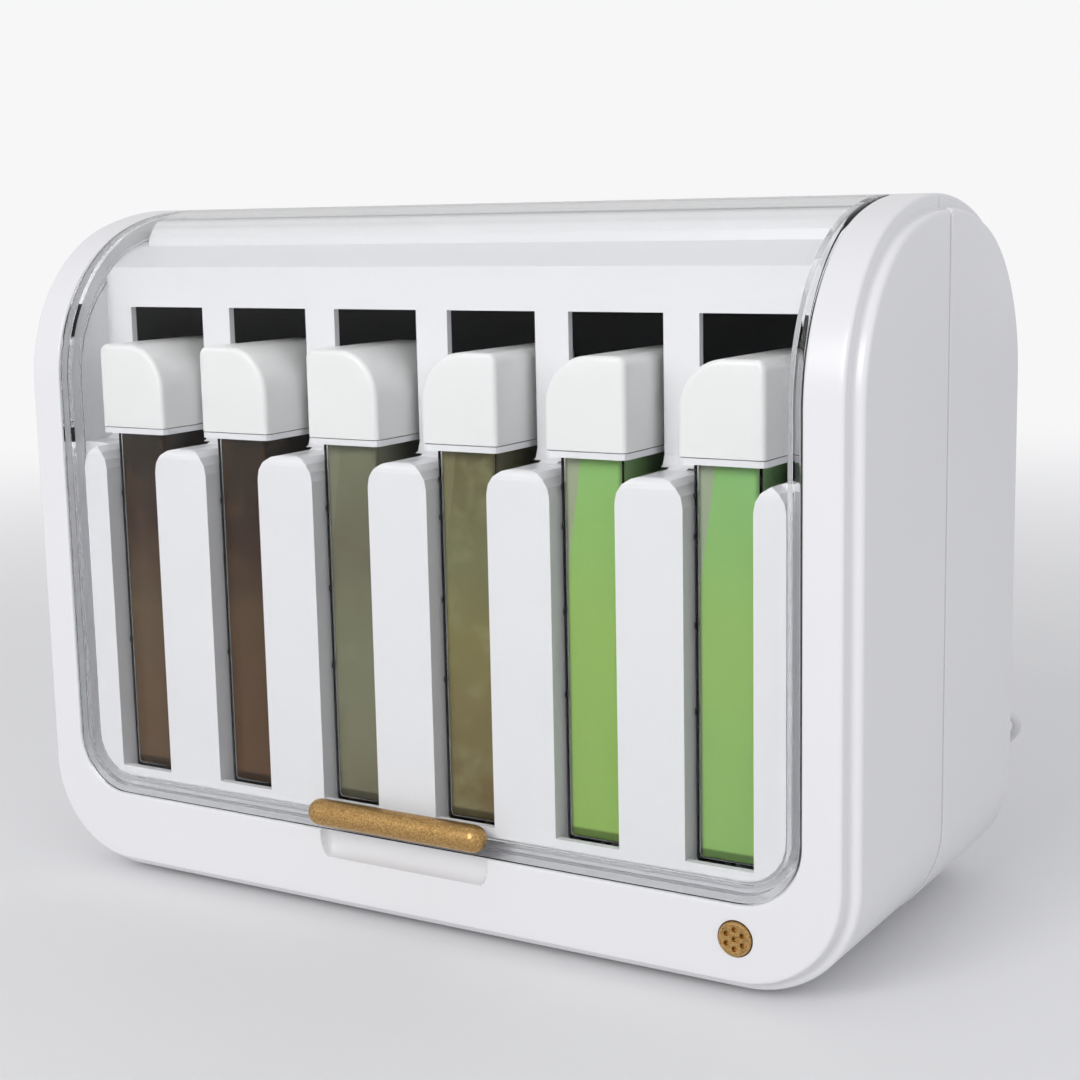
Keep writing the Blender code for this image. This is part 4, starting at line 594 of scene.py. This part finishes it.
# Power button: a round perforated cap in the same gold finish, with a ring of fine
# knurls on its rim; it slides in a hole in the rail and presses the switch behind.
angle = np.linspace(0, 2 * np.pi, 160, endpoint=False)
knurl = 1 - 0.012 * (1 + np.cos(angle * 40)) / 2
button_rows = []
for depth, radius, rough in (
        (-0.55, 0.3, 0), (-0.62, 2.0, 0), (-0.75, 4.1, 0), (-0.8, 4.35, 0), (-0.98, 4.5, 0), (-1.0, 4.75, 0),
        (-0.9, 5.05, 1), (-0.6, 5.3, 1), (-0.2, 5.4, 1), (2.9, 5.4, 0), (2.9, 6.6, 0), (4.1, 6.6, 0),
        (4.1, 1.6, 0), (10.6, 1.6, 0)):
    r = radius * (knurl if rough else 1.0)
    button_rows.append(np.stack((119.5 + r * np.cos(angle), np.full(160, depth), 19.4 + r * np.sin(angle)), 1))
button_points = np.stack(button_rows)
gold_button = build("gold_button", [(
    button_points, grid_faces(14, 160, ring=True) + [tuple(range(160)), tuple(range(13 * 160, 14 * 160))])],
    gold_plate, "power_button", 28.0)
hole_places = [(0.0, 0.0)] + [
    (3.0 * math.cos(math.radians(90 + 60 * k)), 3.0 * math.sin(math.radians(90 + 60 * k))) for k in range(6)]
bored(gold_button, [
    turned("y", (119.5 + x, 19.4 + z), [(-3.0, 0.85), (0.8, 0.85)], 20) for x, z in hole_places])
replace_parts(gold_button, "power_button")


# Tray behind the lid: a white moulding with six upright slots for the cartridges, a
# shelf, the wall with six windows above it, and the round cover along the top.
def softened(node, look, width, limit=32.0, segments=3):
    """Keeps a CAD node's mesh, softens its edges (welded, flat faces joined, a rounded bevel) and finishes it."""
    piece = nodes[node]
    weld = piece.modifiers.new("weld", "WELD")
    weld.merge_threshold = 0.000002
    flats = piece.modifiers.new("flats", "DECIMATE")
    flats.decimate_type = "DISSOLVE"
    flats.angle_limit = math.radians(1.0)
    edge = piece.modifiers.new("edge", "BEVEL")
    edge.width, edge.segments = width * 0.001, segments
    edge.limit_method, edge.angle_limit = "ANGLE", math.radians(limit)
    piece.data.materials.clear()
    piece.data.materials.append(look)
    return piece


softened("inner_tray", white_gloss, 0.5)


# Cartridge caps: satin white covers, each with one broad round shoulder, pushed down
# over the roller heads; three have the shoulder on the right and three on the left.
def cap_line(inset, centre_x, bottom, side):
    """Front outline of a cap without its open bottom: a 15 mm shoulder on one side and a 3 mm one on the other."""
    half, top = 14.0 - inset, bottom + 28.3 - inset
    large, small = 15.0 - inset, 3.2 - inset
    quarter = np.radians(np.linspace(0, 90, 17))
    broad = np.stack((half - large + large * np.cos(quarter), top - large + large * np.sin(quarter)), 1)
    turn = quarter + np.pi / 2
    tight = np.stack((-half + small + small * np.cos(turn), top - small + small * np.sin(turn)), 1)
    line = np.concatenate(([(half, bottom)], broad, tight, [(-half, bottom)]))
    return np.stack((centre_x + side * line[:, 0], line[:, 1]), 1)


cap_white = moulded_look(
    "satin_white_plastic", (0.85, 0.85, 0.84), (0.82, 0.825, 0.82), 24.0, 1100.0, (0.36, 0.28), 0.01)
slot_places = [-112.5, -67.5, -22.5, 22.5, 67.5, 112.5]


def walled(piece, thickness, crease):
    """Gives an open shell a wall of that thickness in mm on its inside, and marks its sharp edges again."""
    wall = piece.modifiers.new("wall", "SOLIDIFY")
    wall.thickness, wall.offset = thickness * 0.001, -1.0
    graph = bpy.context.evaluated_depsgraph_get()
    result = bpy.data.meshes.new_from_object(piece.evaluated_get(graph))
    piece.modifiers.remove(wall)
    piece.data = result
    result.set_sharp_from_angle(angle=math.radians(crease))
    return piece


for number, place_x in enumerate(slot_places, 1):
    bottom = 160.8
    rows, depths = [], []
    side = 1 if number <= 3 else -1
    edge = list(quarter_turn(6, 1.7))
    for inset, depth in [(2.5, 7.1)] + [(back, 7.1 + out) for out, back in edge] + [
            (out, 56.9 - back) for out, back in edge] + [(2.5, 56.9)]:
        rows.append(cap_line(inset, place_x, bottom, side))
        depths.append(depth)
    rows, depths = np.stack(rows), np.array(depths)
    columns_here = rows.shape[1]
    points = np.stack((rows[..., 0], np.broadcast_to(depths[:, None], rows.shape[:2]), rows[..., 1]), -1)
    last_row = (len(depths) - 1) * columns_here
    faces = grid_faces(len(depths), columns_here) + [
        tuple(range(columns_here)), tuple(range(last_row, last_row + columns_here))]
    cap = build(f"white_cap_{number}", [(points, faces)], cap_white, f"cap_{number}", 34.0)
    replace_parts(walled(cap, 1.3, 34.0), f"cap_{number}")


# Roller heads: white mouldings plugged into the bottles, whose flat rim shows under
# each cap, with a smooth roller turning in their mouth.
roller_white = moulded_look(
    "roller_plastic", (0.80, 0.80, 0.79), (0.76, 0.76, 0.75), 40.0, 1500.0, (0.34, 0.26), 0.006)
for number in range(1, 7):
    softened(f"roller_head_{number}", white_gloss, 0.15, segments=2)
    softened(f"roller_{number}", roller_white, 0.2, limit=50.0, segments=2)


# Cartridge bottles: tall flat tubes blown in clear plastic, open at the top where the
# head plugs in, with small moulded tick marks down the left front edge.
bottle_clear, tree, shader = finish_look(
    "clear_bottle", (0.97, 0.985, 0.975), 0.03, Transmission_Weight=1.0, IOR=1.35, Specular_Tint=(0.1, 0.1, 0.1, 1))
lets_lamps_through(bottle_clear, (0.93, 0.95, 0.935))
tick_black = moulded_look("tick_black", (0.012, 0.012, 0.012), (0.02, 0.02, 0.02), 400.0, 3000.0, (0.6, 0.5), 0.01)


def tube_plan(place_x, inset, corner):
    """Outline of a bottle at a slot, moved in by inset."""
    return rounded_plan(place_x - 10.95 + inset, place_x + 10.95 - inset, 10.0 + inset, 54.0 - inset, corner)


bottle_line = [(37.5, 0.9), (37.75, 0.35), (38.4, 0.0), (158.0, 0.0), (158.3, 0.25),
               (158.3, 1.1), (157.9, 1.3), (40.4, 1.3), (39.2, 1.6), (38.8, 2.2)]
tick_heights = (149.0, 136.8, 110.2, 84.0)
for number, place_x in enumerate(slot_places, 1):
    outlines = [tube_plan(place_x, inset, max(2.6 - inset, 0.5)) for _, inset in bottle_line]
    bottle = build(f"bottle_{number}", [lofted(outlines, [z for z, _ in bottle_line])],
                   bottle_clear, f"cartridge_{number}", 30.0)
    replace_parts(bottle, f"cartridge_body_{number}")
    middle = np.array([place_x - 8.35, 12.6])
    outline = np.array([middle + radius * np.array([-math.sin(way), -math.cos(way)])
                        for radius, way in ((2.3, 0.62), (2.8, 0.62), (2.8, 0.98), (2.3, 0.98))])
    ticks = [lofted([outline, outline], (z - 0.9, z + 0.9))
             for z in tick_heights[(number < 4)::1 + (number < 3)]]
    build(f"tick_marks_{number}", ticks, tick_black, f"cartridge_{number}", 30.0)


# Depilatory wax in the bottles: poured hot and set, cloudy and streaked, in six
# colours from dark brown to light green, painted lighter where the light comes through.
def fill_group():
    """Shader group for a fill: masks for the painted shade down its left edge, its dark base, and the clear gap at its
    top left.
    """
    group = bpy.data.node_groups.new("fill_edge_shade_masks", "ShaderNodeTree")
    face = group.interface
    face.new_socket("Middle", in_out="INPUT", socket_type="NodeSocketFloat")
    for name in ("Edge Shade", "Base", "Gap"):
        face.new_socket(name, in_out="OUTPUT", socket_type="NodeSocketFloat")
    given, result = group.nodes.new("NodeGroupInput"), group.nodes.new("NodeGroupOutput")
    place, split = group.nodes.new("ShaderNodeTexCoord"), group.nodes.new("ShaderNodeSeparateXYZ")
    group.links.new(place.outputs["Object"], split.inputs[0])

    def step(value, low, high):
        """Smooth step of a value from 0 at low to 1 at high."""
        node = group.nodes.new("ShaderNodeMapRange")
        node.interpolation_type = "SMOOTHSTEP"
        node.inputs["From Min"].default_value, node.inputs["From Max"].default_value = low, high
        group.links.new(value, node.inputs["Value"])
        return node.outputs["Result"]

    def sum_of(kind, one, other):
        """Math node of two values or numbers."""
        node = group.nodes.new("ShaderNodeMath")
        node.operation = kind
        for socket, value in zip(node.inputs, (one, other)):
            if isinstance(value, float):
                socket.default_value = value
            else:
                group.links.new(value, socket)
        return node.outputs[0]

    aside = sum_of("SUBTRACT", split.outputs["X"], given.outputs["Middle"])
    width = sum_of("MULTIPLY", step(split.outputs["Z"], 0.118, 0.162), 0.0046)
    # Painted shade: the wax darkens from 7.8 mm left of its middle outwards, standing in for its side as seen through
    # the bottle's corner.
    group.links.new(step(aside, -0.0078, -0.0086), result.inputs["Edge Shade"])
    group.links.new(step(split.outputs["Z"], 0.0425, 0.0415), result.inputs["Base"])
    past = sum_of("SUBTRACT", sum_of("ADD", aside, 0.0082), width)
    group.links.new(step(past, 0.0002, -0.0005), result.inputs["Gap"])
    return group


fill_edge_shade_masks = fill_group()


def wax_look(name, middle, stops, cloud, specks, gap, gloss):
    """Wax coloured by height (share of the fill, colour) and mottled with clouds of a lighter tone."""
    look, tree, shader = finish_look(name, stops[0][1], gloss, Specular_IOR_Level=0.1)
    make, join = tree.nodes.new, tree.links.new
    place, split, ramp = make("ShaderNodeTexCoord"), make("ShaderNodeSeparateXYZ"), make("ShaderNodeValToRGB")
    height, waver, noise = make("ShaderNodeMapRange"), make("ShaderNodeMath"), make("ShaderNodeTexNoise")
    height.inputs["From Min"].default_value, height.inputs["From Max"].default_value = 0.0391, 0.1553
    noise.inputs["Scale"].default_value, noise.inputs["Detail"].default_value = 45.0, 5.0
    noise.inputs["Distortion"].default_value = 0.6
    waver.operation = "MULTIPLY_ADD"
    waver.inputs[1].default_value = 0.22
    join(place.outputs["Object"], split.inputs[0])
    join(place.outputs["Object"], noise.inputs["Vector"])
    join(split.outputs["Z"], height.inputs["Value"])
    join(noise.outputs["Fac"], waver.inputs[0])
    join(height.outputs["Result"], waver.inputs[2])
    shift = make("ShaderNodeMath")
    shift.operation = "SUBTRACT"
    shift.inputs[1].default_value = 0.11
    join(waver.outputs[0], shift.inputs[0])
    join(shift.outputs[0], ramp.inputs["Fac"])
    while len(ramp.color_ramp.elements) < len(stops):
        ramp.color_ramp.elements.new(0.5)
    for element, (share, colour) in zip(ramp.color_ramp.elements, stops):
        element.position, element.color = share, (*colour, 1)
    blots, fade, mix = make("ShaderNodeTexNoise"), make("ShaderNodeMapRange"), make("ShaderNodeMix")
    blots.inputs["Scale"].default_value, blots.inputs["Detail"].default_value = 110.0, 6.0
    blots.inputs["Roughness"].default_value = 0.62
    fade.inputs["From Min"].default_value, fade.inputs["From Max"].default_value = 0.5, 0.78
    fade.inputs["To Max"].default_value = specks
    mix.data_type = "RGBA"
    mix.inputs[7].default_value = (*cloud, 1)
    join(place.outputs["Object"], blots.inputs["Vector"])
    join(blots.outputs["Fac"], fade.inputs["Value"])
    join(fade.outputs["Result"], mix.inputs["Factor"])
    join(ramp.outputs["Color"], mix.inputs[6])
    marks = make("ShaderNodeGroup")
    marks.node_tree = fill_edge_shade_masks
    marks.inputs["Middle"].default_value = middle
    colour = mix.outputs[2]
    # Over the colour go the clear gap's tone, painted shade in black down the left edge, and black over the dark base.
    for mask, share, tone in (("Gap", gap[1], gap[0]), ("Edge Shade", 0.55, (0.0, 0.0, 0.0)), ("Base", 0.6, (0.0, 0.0, 0.0))):
        part, over = make("ShaderNodeMath"), make("ShaderNodeMix")
        part.operation, over.data_type = "MULTIPLY", "RGBA"
        part.inputs[1].default_value = share
        join(marks.outputs[mask], part.inputs[0])
        join(part.outputs[0], over.inputs["Factor"])
        join(colour, over.inputs[6])
        over.inputs[7].default_value = (*tone, 1)
        colour = over.outputs[2]
    join(colour, shader.inputs["Base Color"])
    bump = make("ShaderNodeBump")
    bump.inputs["Distance"].default_value = 0.0003
    join(noise.outputs["Fac"], bump.inputs["Height"])
    join(bump.outputs["Normal"], shader.inputs["Normal"])
    return look


wax_stops = [
    [(0.0, (0.13, 0.07, 0.032)), (0.5, (0.135, 0.082, 0.042)), (0.74, (0.05, 0.022, 0.01)),
     (1.0, (0.022, 0.014, 0.006))],
    [(0.0, (0.12, 0.055, 0.024)), (0.5, (0.105, 0.058, 0.028)), (0.76, (0.04, 0.016, 0.007)),
     (1.0, (0.032, 0.019, 0.008))],
    [(0.0, (0.23, 0.205, 0.13)), (0.45, (0.23, 0.23, 0.145)), (0.72, (0.18, 0.16, 0.105)), (1.0, (0.21, 0.21, 0.135))],
    [(0.0, (0.21, 0.15, 0.07)), (0.5, (0.25, 0.21, 0.085)), (0.72, (0.21, 0.20, 0.10)), (1.0, (0.17, 0.15, 0.07))],
    [(0.0, (0.36, 0.56, 0.14)), (0.6, (0.36, 0.56, 0.15)), (1.0, (0.31, 0.56, 0.18))],
    [(0.0, (0.34, 0.57, 0.18)), (0.6, (0.36, 0.57, 0.17)), (1.0, (0.29, 0.56, 0.20))],
]
wax_clouds = [((0.17, 0.085, 0.045), 0.55), ((0.17, 0.09, 0.045), 0.5), ((0.30, 0.30, 0.20), 0.4),
              ((0.40, 0.38, 0.20), 0.5), ((0.36, 0.58, 0.22), 0.25), ((0.36, 0.58, 0.22), 0.25)]
gap_tones = [((0.09, 0.05, 0.03), 0.2), ((0.09, 0.05, 0.03), 0.2), ((0.30, 0.27, 0.20), 0.35),
             ((0.34, 0.30, 0.16), 0.3), ((0.42, 0.42, 0.32), 0.85), ((0.42, 0.43, 0.34), 0.85)]
wax_levels = (0.99, 0.985, 0.99, 0.98, 0.995, 0.99)
for number, place_x in enumerate(slot_places, 1):
    top = 39.1 + 116.2 * wax_levels[number - 1]
    outlines = [tube_plan(place_x, inset, 1.2) for inset in (2.4, 1.7, 1.36, 1.36, 1.45, 1.55, 1.56)]
    wax = build(f"wax_fill_{number}", [lofted(outlines, (39.1, 39.4, 40.4, 158.0, 158.1, 158.0, top))],
                wax_look(f"set_wax_{number}", place_x * 0.001, wax_stops[number - 1], *wax_clouds[number - 1],
                         gap_tones[number - 1], 0.3),
                f"cartridge_{number}", 40.0)
    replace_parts(wax, f"wax_{number}")


# Inside the housing: a black steel chamber, near black also as painted shade for the
# dark seen through the windows, the cast aluminium heater block with its heating film,
# thermostat and fuse, and the board with the switch behind the button.
def metal_look(name, colour, roughness, stretch, tone_gap, scale):
    """Metal with a drawn or cast grain: noise stretched along one way shifts tone and gloss."""
    look, tree, shader = finish_look(name, colour, roughness, Metallic=1.0)
    make, join = tree.nodes.new, tree.links.new
    place, turn_it, grain = make("ShaderNodeTexCoord"), make("ShaderNodeMapping"), make("ShaderNodeTexNoise")
    turn_it.inputs["Scale"].default_value = stretch
    grain.inputs["Scale"].default_value, grain.inputs["Detail"].default_value = scale, 4.0
    tone, gloss = make("ShaderNodeMix"), make("ShaderNodeMapRange")
    tone.data_type = "RGBA"
    tone.inputs[6].default_value = (*colour, 1)
    tone.inputs[7].default_value = (*[c * tone_gap for c in colour], 1)
    gloss.inputs["To Min"].default_value, gloss.inputs["To Max"].default_value = roughness - 0.06, roughness + 0.1
    join(place.outputs["Object"], turn_it.inputs["Vector"])
    join(turn_it.outputs["Vector"], grain.inputs["Vector"])
    join(grain.outputs["Fac"], tone.inputs["Factor"])
    join(grain.outputs["Fac"], gloss.inputs["Value"])
    join(tone.outputs[2], shader.inputs["Base Color"])
    join(gloss.outputs["Result"], shader.inputs["Roughness"])
    return look


# The chamber's near-black is partly painted shade: it stands in for the deep shade seen through the windows.
black_sheet = moulded_look(
    "black_sheet", (0.003, 0.004, 0.005), (0.006, 0.007, 0.008), 30.0, 900.0, (0.75, 0.6), 0.02,
    Specular_IOR_Level=0.15)
cast_aluminium = metal_look("cast_aluminium", (0.55, 0.56, 0.57), 0.42, (1, 1, 1), 0.75, 420.0)
nickel = metal_look("nickel_plate", (0.66, 0.65, 0.62), 0.24, (1, 6, 6), 0.85, 300.0)
bright_steel = metal_look("bright_steel", (0.58, 0.58, 0.59), 0.28, (1, 6, 6), 0.82, 500.0)
film_look = moulded_look("amber_film", (0.42, 0.17, 0.03), (0.30, 0.11, 0.02), 120.0, 1500.0, (0.34, 0.26), 0.01)
fuse_look = moulded_look("fuse_sleeve", (0.72, 0.71, 0.68), (0.6, 0.59, 0.56), 200.0, 2000.0, (0.5, 0.4), 0.02)
switch_black = moulded_look("switch_black", (0.02, 0.02, 0.022), (0.035, 0.035, 0.037), 150.0, 1500.0, (0.45, 0.35), 0.02)
board_green = moulded_look("board_lacquer", (0.02, 0.12, 0.05), (0.012, 0.08, 0.035), 260.0, 1800.0, (0.32, 0.22), 0.02)
softened("heat_chamber", black_sheet, 0.3, segments=2)
softened("heater_block", cast_aluminium, 0.3, segments=2)
softened("heating_film", film_look, 0.15, segments=2)
softened("thermostat", bright_steel, 0.4, segments=2)
softened("thermal_fuse", fuse_look, 0.3, segments=2)
softened("button_switch", switch_black, 0.25, segments=2)
softened("control_board", board_green, 0.15, segments=2)
for side in ("left", "right"):
    softened(f"plug_blade_{side}", nickel, 0.3, segments=2)
    softened(f"hinge_pin_{side}", bright_steel, 0.15, segments=2)
for number in range(1, 5):
    softened(f"shell_screw_{number}", bright_steel, 0.15, segments=2)


# Feet: four short rubber plugs pressed into the bottom of the housing.
foot_rubber = moulded_look("foot_rubber", (0.60, 0.60, 0.61), (0.5, 0.5, 0.51), 120.0, 1400.0, (0.75, 0.65), 0.03)
for place_name in ("front_left", "front_right", "rear_left", "rear_right"):
    softened(f"foot_{place_name}", foot_rubber, 0.35, limit=40.0, segments=3)


# The table top and the studio light: a pale matt floor that fades into a pale surround,
# a broad soft lamp in front and above, and a weaker one from the right.
def pale_floor():
    """Matt floor that keeps shadows near the heater and fades into the surround further out."""
    look, tree, shader = finish_look("pale_floor", (0.86, 0.86, 0.87), 0.6)
    place, grain, tone = (tree.nodes.new("ShaderNode" + kind) for kind in ("TexCoord", "TexNoise", "Mix"))
    grain.inputs["Scale"].default_value = 6.0
    tone.data_type = "RGBA"
    tone.inputs[6].default_value, tone.inputs[7].default_value = (0.87, 0.87, 0.88, 1), (0.84, 0.84, 0.85, 1)
    tree.links.new(place.outputs["Object"], grain.inputs["Vector"])
    tree.links.new(grain.outputs["Fac"], tone.inputs["Factor"])
    tree.links.new(tone.outputs[2], shader.inputs["Base Color"])
    far, fade, path, seen, glow, mix = (tree.nodes.new("ShaderNode" + kind) for kind in (
        "VectorMath", "MapRange", "LightPath", "Math", "Emission", "MixShader"))
    far.operation, fade.interpolation_type, seen.operation = "LENGTH", "SMOOTHSTEP", "MULTIPLY"
    fade.inputs["From Min"].default_value, fade.inputs["From Max"].default_value = 0.35, 1.5
    glow.inputs["Color"].default_value = (0.93, 0.93, 0.94, 1)
    tree.links.new(place.outputs["Object"], far.inputs[0])
    tree.links.new(far.outputs["Value"], fade.inputs["Value"])
    tree.links.new(fade.outputs["Result"], seen.inputs[0])
    tree.links.new(path.outputs["Is Camera Ray"], seen.inputs[1])
    tree.links.new(seen.outputs[0], mix.inputs[0])
    tree.links.new(shader.outputs[0], mix.inputs[1])
    tree.links.new(glow.outputs[0], mix.inputs[2])
    tree.links.new(mix.outputs[0], tree.nodes["Material Output"].inputs["Surface"])
    return look


floor_mesh = bpy.data.meshes.new("floor")
floor_mesh.from_pydata([(-4, -4, -0.0002), (4, -4, -0.0002), (4, 4, -0.0002), (-4, 4, -0.0002)], [], [(0, 1, 2, 3)])
floor_mesh.materials.append(pale_floor())
floor = bpy.data.objects.new("floor", floor_mesh)
bpy.context.collection.objects.link(floor)


def soft_lamp(name, place, aim, size, power, colour):
    """A round area lamp at a place, aimed at another."""
    lamp = bpy.data.lights.new(name, "AREA")
    lamp.shape, lamp.size, lamp.energy, lamp.color = "DISK", size, power, colour
    stand = bpy.data.objects.new(name, lamp)
    bpy.context.collection.objects.link(stand)
    way = Vector(aim) - Vector(place)
    stand.matrix_world = Matrix.Translation(place) @ way.to_track_quat("-Z", "Y").to_matrix().to_4x4()


soft_lamp("key_lamp", (-0.15, -1.75, 1.05), (0, 0, 0.1), 1.0, 14.0, (1.0, 0.99, 0.985))
soft_lamp("right_lamp", (1.5, -0.8, 0.9), (0, 0, 0.1), 1.2, 2.5, (0.97, 0.98, 1.0))
world_look = bpy.data.worlds.new("surround")
bpy.context.scene.world = world_look
world_look.use_nodes = True
sky = world_look.node_tree
seen, pale = sky.nodes["Background"], sky.nodes.new("ShaderNodeBackground")
seen.inputs["Color"].default_value, seen.inputs["Strength"].default_value = (0.97, 0.975, 1.0, 1), 0.64
pale.inputs["Color"].default_value, pale.inputs["Strength"].default_value = (0.93, 0.93, 0.94, 1), 1.0
path, either, mix = (sky.nodes.new("ShaderNode" + kind) for kind in ("LightPath", "Math", "MixShader"))
either.operation = "MAXIMUM"
sky.links.new(path.outputs["Is Camera Ray"], either.inputs[0])
sky.links.new(path.outputs["Is Transmission Ray"], either.inputs[1])
first, shown = sky.nodes.new("ShaderNodeMath"), sky.nodes.new("ShaderNodeMath")
first.operation, shown.operation = "LESS_THAN", "MULTIPLY"
first.inputs[1].default_value = 0.5
sky.links.new(path.outputs["Diffuse Depth"], first.inputs[0])
sky.links.new(first.outputs[0], shown.inputs[0])
sky.links.new(either.outputs[0], shown.inputs[1])
sky.links.new(shown.outputs[0], mix.inputs[0])
sky.links.new(seen.outputs[0], mix.inputs[1])
sky.links.new(pale.outputs[0], mix.inputs[2])
gloss, glossed = sky.nodes.new("ShaderNodeBackground"), sky.nodes.new("ShaderNodeMixShader")
gloss.inputs["Color"].default_value, gloss.inputs["Strength"].default_value = (0.93, 0.93, 0.94, 1), 0.8
sky.links.new(path.outputs["Is Glossy Ray"], glossed.inputs[0])
sky.links.new(mix.outputs[0], glossed.inputs[1])
sky.links.new(gloss.outputs[0], glossed.inputs[2])
sky.links.new(glossed.outputs[0], sky.nodes["World Output"].inputs["Surface"])
